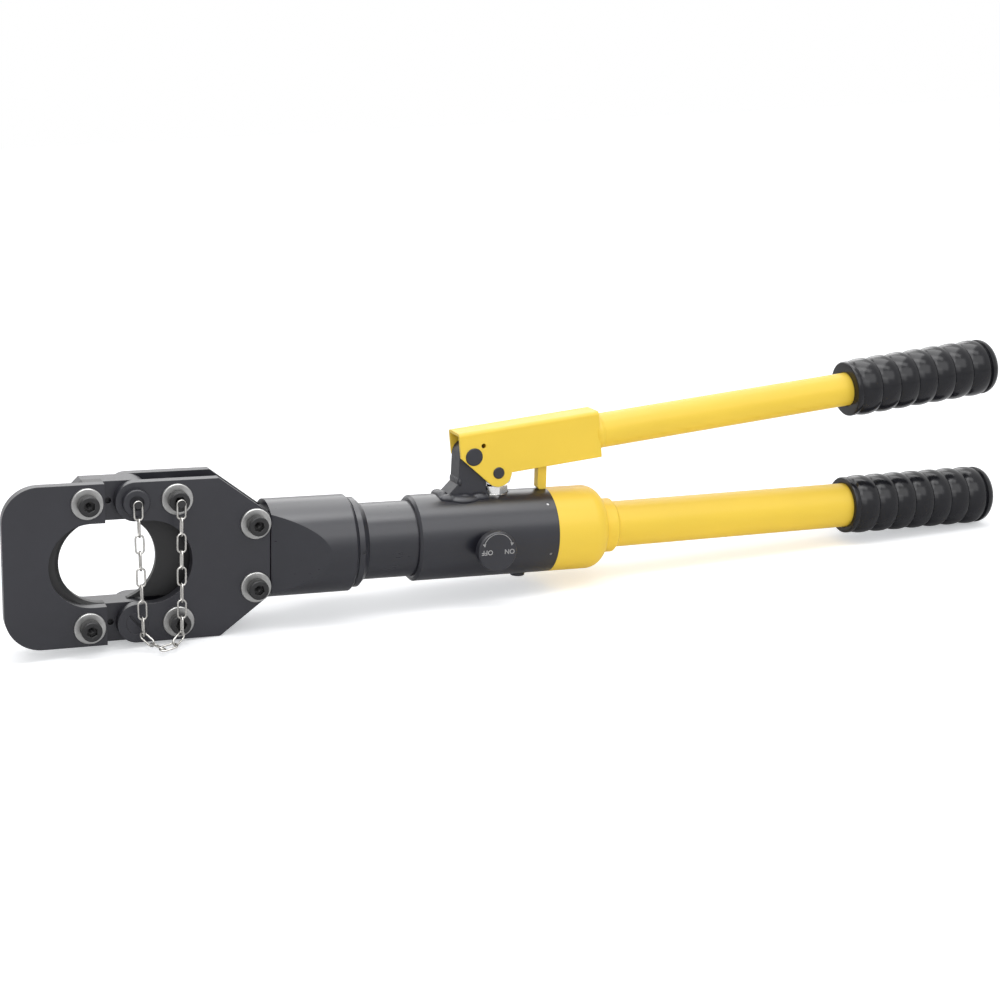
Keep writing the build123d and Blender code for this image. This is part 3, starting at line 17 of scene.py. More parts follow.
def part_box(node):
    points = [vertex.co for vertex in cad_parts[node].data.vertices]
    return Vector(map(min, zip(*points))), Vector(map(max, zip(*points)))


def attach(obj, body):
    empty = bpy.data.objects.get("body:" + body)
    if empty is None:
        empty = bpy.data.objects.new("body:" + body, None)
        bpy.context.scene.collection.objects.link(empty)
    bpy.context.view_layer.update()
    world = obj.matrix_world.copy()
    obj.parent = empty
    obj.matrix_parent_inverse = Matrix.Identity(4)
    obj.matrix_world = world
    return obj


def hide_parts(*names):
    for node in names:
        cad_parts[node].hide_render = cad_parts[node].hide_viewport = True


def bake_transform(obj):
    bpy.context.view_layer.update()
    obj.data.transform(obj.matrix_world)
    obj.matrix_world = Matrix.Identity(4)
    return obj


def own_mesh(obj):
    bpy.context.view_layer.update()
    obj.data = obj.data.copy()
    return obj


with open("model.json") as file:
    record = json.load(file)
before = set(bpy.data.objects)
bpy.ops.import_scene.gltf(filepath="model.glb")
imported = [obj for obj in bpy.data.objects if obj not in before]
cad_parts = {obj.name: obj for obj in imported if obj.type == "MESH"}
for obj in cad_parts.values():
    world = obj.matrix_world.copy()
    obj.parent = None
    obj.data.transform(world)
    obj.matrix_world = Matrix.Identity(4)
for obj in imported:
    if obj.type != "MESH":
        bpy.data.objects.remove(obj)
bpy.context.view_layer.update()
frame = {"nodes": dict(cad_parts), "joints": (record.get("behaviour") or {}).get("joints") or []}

bl_info = {
    "name": "Cable cutter",
    "version": (1, 0, 0),
    "blender": (4, 5, 0),
    "location": "View3D > Sidebar > Cable Cutter",
    "description": "Builds the grips, chain, spring, screws, marks and finishes of a cable cutter",
    "category": "Object",
}

tool_axis_z = sum(corner.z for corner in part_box("pump_body")) / 2
joints = {joint["name"]: joint for joint in frame["joints"]}
turned_corners = 96     # corners round a grip or a weld ring


def box_middle(node):
    """Middle of a CAD node's box."""
    low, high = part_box(node)
    return (low + high) / 2


# ---------------------------------------------------------------- properties


def length(name, default, description):
    """A length in metres."""
    return FloatProperty(
        name=name, description=description, default=default, min=0.0, unit="LENGTH", precision=5
    )


def turn(name, default, description):
    """An angle in radians."""
    return FloatProperty(name=name, description=description, default=default, unit="ROTATION")


def colour(name, default, description):
    """A linear colour."""
    return FloatVectorProperty(
        name=name, description=description, default=default, min=0.0, max=1.0, subtype="COLOR"
    )


class CutterSizes(bpy.types.PropertyGroup):
    """Sizes of the pieces that are modelled here."""

    grip_length: length("Grip length", 0.121, "Length of a grip from its lip to its end")
    grip_radius: length("Lower grip radius", 0.0213, "Radius over the ribs of the lower grip")
    upper_grip_radius: length("Upper grip radius", 0.0206, "Radius over the ribs of the upper grip")
    grip_rib_depth: length("Rib depth", 0.0016, "Depth of the valleys between the ribs")
    grip_ribs: IntProperty(name="Ribs", description="Ribs on each grip", default=7, min=2)
    lower_tube_radius: length("Lower tube radius", 0.016, "Outer radius of the fixed handle's tube")
    upper_tube_radius: length("Upper tube radius", 0.012, "Outer radius of the pump handle's tube")
    lower_slope: turn("Fixed handle slope", radians(0.9), "Slope of the fixed handle's tube")
    lower_grip_start: length("Lower grip start", 0.2072, "From the tube's front end to the mouth")
    handle_slope: turn("Handle slope", radians(6.5), "Slope of the pump handle at rest")
    upper_grip_start: length("Upper grip start", 0.2915, "From the pivot to the grip's mouth")
    upper_tube_rise: length("Upper tube rise", 0.0012, "Tube axis above the pivot")

    chain_wire: length("Chain wire", 0.0012, "Thickness of the chain's wire")
    chain_pitch: length("Link length", 0.0120, "Between the middles of its end wires")
    chain_width: length("Link width", 0.0064, "Outer width of a link")
    latch_lean: turn("Latch strand lean", radians(1.4), "Lean of the latch's strand to the handles")
    anchor_lean: turn("Anchor strand lean", radians(-0.4), "Lean of the screw's strand")
    hanging_links: IntProperty(name="Hanging links", description="Links in each strand", default=8)

    spring_wire: length("Spring wire", 0.0015, "Radius of the return spring's wire")
    spring_turns: IntProperty(
        name="Spring turns", description="Turns of the return spring", default=6
    )

    screw_head_radius: length("Screw head radius", 0.0065, "Radius of the socket screws' heads")
    screw_head_height: length("Screw head height", 0.008, "Height of the socket screws' heads")
    screw_radius: length("Screw radius", 0.004, "Radius of the socket screws' shanks")
    screw_socket: length("Socket width", 0.006, "Width of the hexagon socket across its flats")
    screw_socket_depth: length("Socket depth", 0.004, "Depth of the hexagon socket")
    yoke_screw_offset: length("Yoke screw offset", 0.021, "Yoke screws above and below the axis")

    knob_mark_radius: length("Arrow radius", 0.0102, "Radius of the arc that joins the arrowheads")
    knob_mark_width: length("Mark width", 0.00040, "Width of the arc's line")
    knob_word_height: length("Word height", 0.0033, "Height of the words on the knob")
    weld_radius: length("Weld bead", 0.0030, "Radius of the weld bead at the pivot bracket")
    weld_waist_x: length("Waist bead along", -0.0095, "Waist bead from the pivot, along the tool")
    weld_waist_z: length("Waist bead height", -0.0175, "Waist bead from the pivot, upwards")
    socket_rear: length("Socket rear", 0.0928, "From the pivot to where the upper tube turns round")


class CutterColours(bpy.types.PropertyGroup):
    """Colours of the finishes, in linear light."""

    head_black: colour("Head black", (0.0172, 0.0176, 0.0240), "Blackened steel of the head")
    blade_black: colour("Blade black", (0.0100, 0.0100, 0.0110), "Blackened steel of the blades")
    body_black: colour("Body black", (0.0150, 0.0157, 0.0222), "Satin black of the pump body")
    yellow: colour("Yellow", (0.876, 0.610, 0.060), "Enamel of the handles")
    grip_black: colour("Grip black", (0.0098, 0.0100, 0.0128), "Moulded grips")
    zinc: colour("Zinc", (0.34, 0.34, 0.335), "Zinc plate of the washers")
    bright_steel: colour("Bright steel", (0.46, 0.45, 0.43), "Steel of the chain")
    mark_grey: colour("Mark grey", (0.34, 0.34, 0.34), "Marks on the release knob")


def sizes():
    """Sizes of the scene's cutter."""
    return bpy.context.scene.cutter_sizes


def colours():
    """Colours of the scene's cutter."""
    return bpy.context.scene.cutter_colours


# ---------------------------------------------------------------- modelling


def pick_none():
    """Leave edit mode with nothing selected."""
    if bpy.context.mode != "OBJECT":
        bpy.ops.object.mode_set(mode="OBJECT")
    bpy.ops.object.select_all(action="DESELECT")


def pick(*pieces):
    """Select these pieces alone, with the first one active."""
    pick_none()
    for piece in pieces:
        piece.select_set(True)
    bpy.context.view_layer.objects.active = pieces[0]


def name_active(name):
    """Name the piece that an operator has just made, and return it."""
    piece = bpy.context.active_object
    piece.name = name
    piece.data.name = name
    return piece


def place(piece, matrix):
    """Put the piece's place into its mesh."""
    pick(piece)
    piece.matrix_world = matrix
    bpy.ops.object.transform_apply(location=True, rotation=True, scale=True)


def tidy_mesh(piece, smooth_angle=radians(35)):
    """Merge doubled points, turn every face outwards and smooth the shading."""
    pick(piece)
    bpy.ops.object.mode_set(mode="EDIT")
    bpy.ops.mesh.select_all(action="SELECT")
    bpy.ops.mesh.remove_doubles(threshold=1e-6)
    bpy.ops.mesh.normals_make_consistent(inside=False)
    bpy.ops.object.mode_set(mode="OBJECT")
    bpy.ops.object.shade_smooth_by_angle(angle=smooth_angle)


def pick_points(piece, wanted):
    """In edit mode, select only the points for which wanted is true."""
    bpy.ops.object.mode_set(mode="OBJECT")
    for edge in piece.data.edges:
        edge.select = False
    for face in piece.data.polygons:
        face.select = False
    for vertex in piece.data.vertices:
        vertex.select = wanted(vertex.co)
    bpy.ops.object.mode_set(mode="EDIT")
    bpy.ops.mesh.select_mode(type="VERT")


def pick_ring(piece, height, radius):
    """In edit mode, select only the ring of points at a height and radius."""
    def on_ring(co):
        return abs(co.z - height) < 1e-6 and abs(hypot(co.x, co.y) - radius) < 1e-6

    pick_points(piece, on_ring)


def join(name, pieces):
    """Join several pieces into one."""
    pick(*pieces)
    bpy.ops.object.join()
    return name_active(name)


def copy_of(piece):
    """A copy of the piece with a mesh of its own."""
    pick(piece)
    bpy.ops.object.duplicate(linked=False)
    return bpy.context.active_object


def extrude(rise):
    """In edit mode, extrude the selection along Z."""
    bpy.ops.mesh.extrude_region_move(TRANSFORM_OT_translate={"value": (0, 0, rise)})


def widen(ratio, height=0.0):
    """In edit mode, scale the selection about the Z axis."""
    bpy.ops.transform.resize(value=(ratio, ratio, 1), center_override=(0, 0, height))


def draw_rings(rows):
    """In edit mode, extrude the selected ring from one (height, radius) row to the next."""
    for (start, before), (height, after) in zip(rows, rows[1:]):
        extrude(height - start)
        if abs(after - before) > 1e-9:
            widen(after / before, height)


def turned_shell(name, rows):
    """A piece turned about Z, drawn ring by ring from (height, radius) rows, with closed ends."""
    pick_none()
    height, radius = rows[0]
    bpy.ops.mesh.primitive_circle_add(
        vertices=turned_corners, radius=radius, location=(0, 0, 0), fill_type="NGON"
    )
    piece = name_active(name)
    place(piece, Matrix.Translation((0, 0, height)))
    bpy.ops.object.mode_set(mode="EDIT")
    bpy.ops.mesh.select_all(action="SELECT")
    draw_rings(rows)
    bpy.ops.object.mode_set(mode="OBJECT")
    return piece


def along_x(start, direction=Vector((1, 0, 0))):
    """Matrix that lays a piece turned about Z along a direction, from a start."""
    turn_over = direction.to_track_quat("Z", "Y").to_matrix().to_4x4()
    return Matrix.Translation(start) @ turn_over


def handle_place(size, reach):
    """Matrix that lays a piece along the upper tube, from a reach behind the pivot."""
    along = Vector((cos(size.handle_slope), 0, sin(size.handle_slope)))
    over = Vector((-sin(size.handle_slope), 0, cos(size.handle_slope)))
    pivot = Vector(joints["handle_hinge"]["pos_m"])
    return along_x(pivot + along * reach + over * size.upper_tube_rise, along)


def to_front(x, y, z):
    """Matrix that turns a piece's +Z to -Y and moves it into place."""
    return Matrix.Translation((x, y, z)) @ Matrix.Rotation(pi / 2, 4, "X")


# ---------------------------------------------------------------- finishes


def feed(tree, socket, value):
    """Link a socket to another node's output, or set its value."""
    if isinstance(value, bpy.types.NodeSocket):
        tree.links.new(value, socket)
    else:
        socket.default_value = value


def node_of(tree, kind, **sockets):
    """A shader node with its inputs fed by name, or by number as i0, i1 and so on."""
    node = tree.nodes.new(kind)
    for key, value in sockets.items():
        numbered = key[0] == "i" and key[1:].isdigit()
        feed(tree, node.inputs[int(key[1:]) if numbered else key], value)
    return node


def noise(tree, place_on, scale, detail=3.0):
    """Value of a noise pattern."""
    node = node_of(
        tree, "ShaderNodeTexNoise", Vector=place_on, Scale=scale, Detail=detail, Roughness=0.55
    )
    return node.outputs["Fac"]


def spread(tree, value, low, high, start=0.3, stop=0.7):
    """The value's range from start to stop, spread from low to high."""
    node = node_of(tree, "ShaderNodeMapRange", i0=value, i1=start, i2=stop, i3=low, i4=high)
    return node.outputs[0]


def calculate(tree, operation, first, second):
    """A sum, product or other result of two values."""
    node = node_of(tree, "ShaderNodeMath", i0=first, i1=second)
    node.operation = operation
    return node.outputs[0]


def tinted(rgb, factor):
    """A colour made lighter or darker."""
    return tuple(min(1.0, channel * factor) for channel in rgb) + (1.0,)


def blend_colours(tree, factor, first, second):
    """Mix of two colours."""
    node = tree.nodes.new("ShaderNodeMix")
    node.data_type = "RGBA"
    tree.links.new(factor, node.inputs[0])
    feed(tree, node.inputs[6], first)
    feed(tree, node.inputs[7], second)
    return node.outputs[2]


def finish_material(
    name,
    rgb,
    metallic=0.0,
    roughness=(0.35, 0.45),
    mottle=(40.0, 0.12),
    grain=(900.0, 0.15, 0.00002),
    stretch=(1.0, 1.0, 1.0),
    edge=0.0004,
    wear_and_edge_highlight=0.0,
    wear_and_edge_highlight_rgb=(0.30, 0.30, 0.30),
    coat=0.0,
    coat_roughness=0.1,
    specular=0.5,
    rings=None,
):
    """A metal, paint or rubber finish.

    mottle is the scale and amount of slow colour changes, grain the scale, strength and depth of
    the fine surface, stretch the grain's direction, edge the radius that softens sharp edges,
    wear_and_edge_highlight how far edges are lightened towards wear_and_edge_highlight_rgb (partly
    rubbed wear, partly a painted highlight along the edges), and rings the axis, middle, scale and
    depth of tool marks round a turned face.
    """
    mottle_scale, mottle_amount = mottle
    grain_scale, grain_strength, grain_depth = grain
    material = bpy.data.materials.new(name)
    material.use_nodes = True
    tree = material.node_tree
    shader = tree.nodes["Principled BSDF"]
    shader.inputs["Metallic"].default_value = metallic
    shader.inputs["Specular IOR Level"].default_value = specular
    shader.inputs["Coat Weight"].default_value = coat
    shader.inputs["Coat Roughness"].default_value = coat_roughness

    position = tree.nodes.new("ShaderNodeTexCoord").outputs["Object"]
    stretched = node_of(tree, "ShaderNodeMapping", Vector=position, Scale=stretch).outputs[0]
    slow = noise(tree, position, mottle_scale)
    fine = noise(tree, stretched, grain_scale, detail=4.0)

    patches = spread(tree, slow, 0.0, 1.0)
    paint = blend_colours(
        tree, patches, tinted(rgb, 1 - mottle_amount), tinted(rgb, 1 + mottle_amount)
    )
    halves = [calculate(tree, "MULTIPLY", pattern, 0.5) for pattern in (slow, fine)]
    rough = spread(tree, calculate(tree, "ADD", *halves), *roughness)

    soft = node_of(tree, "ShaderNodeBevel", Radius=edge)
    soft.samples = 4
    # Edges are lightened towards one colour: partly rubbed wear, partly a painted highlight along
    # every sharp edge.
    if wear_and_edge_highlight > 0:
        geometry = tree.nodes.new("ShaderNodeNewGeometry")
        facing = tree.nodes.new("ShaderNodeVectorMath")
        facing.operation = "DOT_PRODUCT"
        tree.links.new(soft.outputs[0], facing.inputs[0])
        tree.links.new(geometry.outputs["Normal"], facing.inputs[1])
        near_edge = spread(tree, facing.outputs["Value"], 1.0, 0.0, 0.80, 0.99)
        patchy = spread(tree, noise(tree, position, 160.0), 0.0, wear_and_edge_highlight)
        worn_and_highlit_edges = calculate(tree, "MULTIPLY", near_edge, patchy)
        paint = blend_colours(tree, worn_and_highlit_edges, paint, (*wear_and_edge_highlight_rgb, 1.0))

    height = fine
    if rings:
        axis, middle, ring_scale, ring_depth = rings
        shifted = node_of(tree, "ShaderNodeMapping", Vector=position,
                          Location=tuple(-c for c in middle)).outputs[0]
        split = node_of(tree, "ShaderNodeSeparateXYZ", Vector=shifted)
        across = [split.outputs[k] for k in range(3) if k != "XYZ".index(axis)]
        squares = [calculate(tree, "MULTIPLY", value, value) for value in across]
        radius = calculate(tree, "SQRT", calculate(tree, "ADD", *squares), 0.0)
        marks = calculate(tree, "SINE", calculate(tree, "MULTIPLY", radius, ring_scale), 0.0)
        height = calculate(tree, "ADD", fine, calculate(tree, "MULTIPLY", marks, ring_depth))
    bump = node_of(tree, "ShaderNodeBump", Strength=grain_strength, Distance=grain_depth,
                   Height=height, Normal=soft.outputs[0])
    tree.links.new(paint, shader.inputs["Base Color"])
    tree.links.new(rough, shader.inputs["Roughness"])
    tree.links.new(bump.outputs[0], shader.inputs["Normal"])
    return material


def dress(material, *nodes):
    """Give CAD nodes a finish."""
    for node in nodes:
        piece = frame["nodes"][node]
        if not piece.material_slots:
            piece.data.materials.append(material)
        for slot in piece.material_slots:
            slot.material = material


def finish_piece(piece, material, body, slot, *replaced):
    """Give a new piece its finish and its body, and hide the CAD nodes that it stands for."""
    piece.data.materials.clear()
    piece.data.materials.append(material)
    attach(piece, body)
    if replaced:
        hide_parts(*replaced)


class CUTTER_OT_head_finish(bpy.types.Operator):
    """Finish the cutting head: plates, jaws, blades, pins and washers"""

    bl_idname = "cutter.head_finish"
    bl_label = "Head Finish"

    def execute(self, context):
        tone = colours()
        # The plates' edges are lightened towards a mid grey: partly rubbed wear, partly a painted
        # edge highlight.
        plates = finish_material(
            "blackened_plate", tone.head_black, roughness=(0.30, 0.42), mottle=(22.0, 0.10),
            grain=(700.0, 0.25, 0.00002), edge=0.0005, wear_and_edge_highlight=0.25, wear_and_edge_highlight_rgb=(0.10, 0.10, 0.10),
        )
        dress(plates, "side_plate_near", "side_plate_far", "jaw_cover_plate", "front_jaw")
        blades = finish_material(
            "blackened_blade", tone.blade_black, roughness=(0.42, 0.55), mottle=(30.0, 0.12),
            grain=(500.0, 0.3, 0.00002), stretch=(1.0, 1.0, 6.0), edge=0.0003,
        )
        dress(blades, "fixed_blade", "moving_blade", "chain_latch_rivet", "chain_anchor_rivet")
        carrier = finish_material(
            "carrier_steel", (0.075, 0.075, 0.078), metallic=0.6, roughness=(0.35, 0.5),
            grain=(500.0, 0.3, 0.00002), stretch=(1.0, 1.0, 8.0),
        )
        dress(carrier, "blade_carrier", "blade_screws")
        pins = finish_material(
            "blackened_pin", tone.head_black, roughness=(0.32, 0.46), grain=(900.0, 0.3, 0.00003),
            edge=0.0004, wear_and_edge_highlight=0.3, wear_and_edge_highlight_rgb=(0.12, 0.12, 0.12),
        )
        dress(pins, "latch_pin", "hinge_pin", "spacer_tubes", "plate_nuts")
        # The washers' edges are lightened almost to white in the base colour: a painted highlight
        # round each rim.
        zinc = finish_material(
            "zinc_washer", tone.zinc, metallic=1.0, roughness=(0.26, 0.44), mottle=(180.0, 0.12),
            grain=(1400.0, 0.4, 0.00003), edge=0.0006, wear_and_edge_highlight=1.0, wear_and_edge_highlight_rgb=(0.90, 0.90, 0.89),
        )
        dress(zinc, "washers", "hinge_pin_clip", "latch_detent_ball")
        return {"FINISHED"}


class CUTTER_OT_hydraulics_finish(bpy.types.Operator):
    """Finish the yoke, the cylinder, the pump body and what works inside them"""

    bl_idname = "cutter.hydraulics_finish"
    bl_label = "Hydraulics Finish"

    def execute(self, context):
        tone = colours()
        satin = finish_material(
            "satin_black_steel", tone.body_black, roughness=(0.27, 0.32), mottle=(30.0, 0.06),
            grain=(900.0, 0.06, 0.00002), stretch=(0.15, 1.0, 1.0), edge=0.0005, wear_and_edge_highlight=0.2,
            wear_and_edge_highlight_rgb=(0.10, 0.10, 0.10),
        )
        dress(satin, "yoke", "locking_ring", "cylinder_tube", "pump_body", "drain_plug",
              "grub_screw")
        bracket = finish_material(
            "brushed_on_black", tone.body_black, roughness=(0.42, 0.60), mottle=(60.0, 0.18),
            grain=(260.0, 0.5, 0.00008), edge=0.0010, wear_and_edge_highlight=0.15, wear_and_edge_highlight_rgb=(0.09, 0.09, 0.09),
        )
        dress(bracket, "pivot_bracket")
        chrome = finish_material(
            "ground_chrome", (0.62, 0.62, 0.63), metallic=1.0, roughness=(0.10, 0.18),
            mottle=(50.0, 0.04), grain=(800.0, 0.1, 0.00001), edge=0.0002,
        )
        dress(chrome, "piston_rod", "pump_plunger", "valve_balls")
        bright = finish_material(
            "bright_nut", (0.74, 0.74, 0.73), metallic=1.0, roughness=(0.16, 0.28),
            mottle=(120.0, 0.08), grain=(700.0, 0.2, 0.00002), edge=0.0005,
        )
        dress(bright, "gland_nut")
        plain = finish_material(
            "machined_steel", (0.30, 0.30, 0.31), metallic=1.0, roughness=(0.30, 0.42),
            grain=(600.0, 0.2, 0.00002), edge=0.0003,
        )
        dress(plain, "piston", "piston_nut", "return_spring", "suction_spring", "delivery_spring",
              "release_spindle", "reservoir_plug", "body_set_screws")
        seals = finish_material(
            "seal_rubber", (0.012, 0.012, 0.012), roughness=(0.5, 0.65),
            grain=(1200.0, 0.3, 0.00002),
        )
        dress(seals, "rod_seal", "barrel_seal", "piston_seal", "reservoir_seal", "spindle_seal",
              "plunger_seal", "oil_bladder")
        return {"FINISHED"}


class CUTTER_OT_return_spring(bpy.types.Operator):
    """Model the ram's return spring as a fixed coil on the head; the real spring shortens as the
    blades close
    """

    bl_idname = "cutter.return_spring"
    bl_label = "Return Spring"

    def execute(self, context):
        size = sizes()
        low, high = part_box("return_spring")
        wire, wire_corners = size.spring_wire, 12
        steps_per_turn = 40
        free_length = high.x - low.x
        pick_none()
        bpy.ops.mesh.primitive_circle_add(vertices=wire_corners, radius=wire, location=(0, 0, 0))
        spring = name_active("return_spring_coil")
        mean_radius = (high.y - low.y) / 2 - wire
        place(spring, Matrix.Translation((mean_radius, 0, wire)) @ Matrix.Rotation(pi / 2, 4, "X"))
        wind = spring.modifiers.new("Wind", "SCREW")
        wind.iterations = size.spring_turns
        wind.screw_offset = (free_length - 2 * wire) / size.spring_turns
        wind.steps = wind.render_steps = steps_per_turn
        bpy.ops.object.modifier_apply(modifier=wind.name)
        bpy.ops.object.mode_set(mode="EDIT")
        bpy.ops.mesh.select_all(action="SELECT")
        bpy.ops.mesh.fill_holes(sides=0)
        bpy.ops.object.mode_set(mode="OBJECT")
        seat = Vector((low.x, 0, tool_axis_z))
        place(spring, along_x(seat))
        tidy_mesh(spring, radians(50))
        plain = bpy.data.materials["machined_steel"]
        finish_piece(spring, plain, "head", "spring_steel", "return_spring")
        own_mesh(spring)
        return {"FINISHED"}


class CUTTER_OT_handle_finish(bpy.types.Operator):
    """Finish the yellow handles, the collar and the handle's pins"""

    bl_idname = "cutter.handle_finish"
    bl_label = "Handle Finish"

    def execute(self, context):
        tone = colours()
        enamel = finish_material(
            "yellow_enamel", tone.yellow, roughness=(0.42, 0.52), mottle=(14.0, 0.025),
            grain=(320.0, 0.12, 0.00004), edge=0.0008, coat=0.08, coat_roughness=0.2, specular=0.3,
        )
        dress(enamel, "collar", "lower_tube", "upper_tube", "handle_socket", "stop_peg")
        pins = finish_material(
            "blackened_handle_pin", tone.body_black, roughness=(0.38, 0.52), mottle=(90.0, 0.2),
            grain=(700.0, 0.4, 0.00003), edge=0.0004, wear_and_edge_highlight=0.3, wear_and_edge_highlight_rgb=(0.12, 0.12, 0.12),
        )
        dress(pins, "pivot_pin", "link_pin", "pin_clips", "upper_tube_plug")
        return {"FINISHED"}


# ---------------------------------------------------------------- grips


def grip_rows(radius, bore, rib_depth, total, ribs):
    """Rows of a grip's outline: bore, rounded mouth, lip, groove, barrel ribs and rounded end."""
    lip = 0.0046
    lip_radius = radius - 0.0008
    groove_radius = radius - 0.0021
    mouth_round, mouth_steps = 0.0012, 4
    end_wall = 0.004
    end_length = 0.0076
    end_radius = radius - 0.0005
    end_round, end_steps = 0.0070, 10
    rib_steps = 14
    fullness = 2.2
    valley = 0.0003
    rows = [(total - end_wall, bore), (0.006, bore), (0.0008, bore), (0.0002, bore + 0.0006)]
    for step in range(mouth_steps + 1):
        angle = pi / 2 * step / mouth_steps
        rows.append((mouth_round * (1 - cos(angle)), lip_radius - mouth_round * (1 - sin(angle))))
    rows += [
        (lip - 0.0010, lip_radius),
        (lip - 0.0004, lip_radius - 0.0003),
        (lip, lip_radius - 0.0009),
        (lip + 0.0002, groove_radius),
        (lip + 0.0008, groove_radius),
    ]
    start = lip + 0.0010
    end = total - end_length
    rib = (end - start) / ribs
    for index in range(ribs):
        for step in range(1, rib_steps):
            part = step / rib_steps
            bulge = 1 - abs(2 * part - 1) ** fullness
            rows.append((start + rib * (index + part), radius - rib_depth * (1 - bulge)))
        if index < ribs - 1:
            rows.append((start + rib * (index + 1), radius - rib_depth - valley))
    rows += [(end, radius - rib_depth - 0.0004), (end + 0.0004, radius - 0.0009)]
    for step in range(end_steps + 1):
        angle = pi / 2 * step / end_steps
        rows.append((total - end_round + end_round * sin(angle),
                     end_radius - end_round * (1 - cos(angle))))
    return rows + [(total, radius * 0.30)]


class CUTTER_OT_grips(bpy.types.Operator):
    """Model the two ribbed grips"""

    bl_idname = "cutter.grips"
    bl_label = "Grips"

    def execute(self, context):
        size = sizes()
        rubber = finish_material(
            "moulded_grip", colours().grip_black, roughness=(0.16, 0.24), mottle=(70.0, 0.10),
            grain=(520.0, 0.12, 0.00004), edge=0.0002, specular=0.28,
        )
        clearance = 0.00003
        rear = Vector((cos(size.lower_slope), 0, sin(size.lower_slope)))
        tube_front = Vector((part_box("lower_tube")[0].x, 0, tool_axis_z))
        lower_start = tube_front + rear * size.lower_grip_start
        lower_start.x += size.lower_tube_radius * sin(size.lower_slope)
        rows = grip_rows(size.grip_radius, size.lower_tube_radius + clearance, size.grip_rib_depth,
                         size.grip_length, size.grip_ribs)
        lower = turned_shell("lower_grip_ribbed", rows)
        place(lower, along_x(lower_start, rear))
        tidy_mesh(lower)
        finish_piece(lower, rubber, "head", "grip_rubber", "lower_grip")

        rows = grip_rows(size.upper_grip_radius, size.upper_tube_radius + clearance,
                         size.grip_rib_depth, size.grip_length, size.grip_ribs)
        upper = turned_shell("upper_grip_ribbed", rows)
        place(upper, handle_place(size, size.upper_grip_start))
        tidy_mesh(upper)
        finish_piece(upper, rubber, "pump_handle", "grip_rubber", "upper_grip")
        return {"FINISHED"}


# ---------------------------------------------------------------- safety chain


def model_link(size):
    """One welded wire link: long way along X, width along Y, with its weld on one side."""
    bend = (size.chain_width - size.chain_wire) / 2
    straight = size.chain_pitch / 2 - bend
    pick_none()
    bpy.ops.mesh.primitive_torus_add(
        major_segments=32, minor_segments=12, major_radius=bend, minor_radius=size.chain_wire / 2
    )
    link = name_active("chain_link")
    bpy.ops.object.mode_set(mode="EDIT")
    bpy.ops.mesh.select_all(action="SELECT")
    bpy.ops.mesh.bisect(plane_co=(0, 0, 0), plane_no=(1, 0, 0))
    bpy.ops.object.mode_set(mode="OBJECT")
    for side in (-1, 1):
        pick_points(link, lambda co: side * co.x > 1e-5)
        bpy.ops.transform.translate(value=(side * straight, 0, 0))
    pick_points(link, lambda co: abs(co.x) < 1e-5 and co.y > 0)
    weld_swell = 1.12
    bpy.ops.transform.resize(value=(1, weld_swell, weld_swell), center_override=(0, bend, 0))
    bpy.ops.object.mode_set(mode="OBJECT")
    return link


def chain_places(size):
    """Matrices of all the chain's links: one strand, the lying links and the other strand."""
    edge_on = Vector((0, 1, 0))
    gap = 0.0001
    rivet_radius = 0.0012
    rivet_head = 0.0008
    step = size.chain_pitch - size.chain_wire - gap
    drop = (size.chain_pitch - size.chain_wire) / 2 - rivet_radius - gap

    def link_matrix(middle, along, across):
        matrix = Matrix((along, across, along.cross(across))).transposed().to_4x4()
        return Matrix.Translation(middle) @ matrix

    def strand(x, y, z, angle):
        found = []
        lean = Vector((sin(angle), 0, -cos(angle)))
        face_on = Vector((cos(angle), 0, sin(angle)))
        middle = Vector((x, y, z)) + lean * drop
        for count in range(size.hanging_links):
            found.append(link_matrix(middle, lean, edge_on if count % 2 else face_on))
            middle = middle + lean * step
        return found, middle - lean * (step - size.chain_pitch / 2)

    strands = []
    for rivet, angle in (
        ("chain_latch_rivet", size.latch_lean),
        ("chain_anchor_rivet", size.anchor_lean),
    ):
        centre = box_middle(rivet)
        link_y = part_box(rivet)[0].y + rivet_head + size.chain_wire
        strands.append(strand(centre.x, link_y, centre.z, angle))
    (left, left_end), (right, right_end) = strands
    # Points where two lying links meet, each link's twist in degrees, and its middle's distance
    # from its first point.
    corners = [
        left_end,
        left_end + Vector((0.00449, -0.00596, -0.00372)),
        left_end + Vector((0.00953, -0.01516, -0.00486)),
        left_end + Vector((0.01568, -0.01300, -0.00408)),
        right_end,
    ]
    turns = (94.52, -25.40, 14.24, 82.70)
    middles = (0.00357, 0.00574, 0.00371, 0.00755)
    lying = []
    for start, end, twist, middle in zip(corners, corners[1:], turns, middles):
        along = (end - start).normalized()
        level = along.cross(Vector((0, 0, 1))).normalized()
        across = Matrix.Rotation(radians(twist), 3, along) @ level
        lying.append(link_matrix(start + along * middle, along, across))
    return left + lying + right


class CUTTER_OT_chain(bpy.types.Operator):
    """Model the safety chain between the latch pin and the head"""

    bl_idname = "cutter.chain"
    bl_label = "Safety Chain"

    def execute(self, context):
        size = sizes()
        link = model_link(size)
        links = []
        for matrix in chain_places(size):
            one = copy_of(link)
            place(one, matrix)
            links.append(one)
        bpy.data.objects.remove(link)
        chain = join("chain_links", links)
        tidy_mesh(chain, radians(60))
        steel = finish_material(
            "chain_steel", colours().bright_steel, metallic=1.0, roughness=(0.22, 0.38),
            mottle=(240.0, 0.15), grain=(1500.0, 0.3, 0.00002), edge=0.0001,
        )
        chain.data.materials.clear()
        chain.data.materials.append(steel)
        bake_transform(chain)
        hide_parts("safety_chain")
        return {"FINISHED"}


# ---------------------------------------------------------------- socket screws


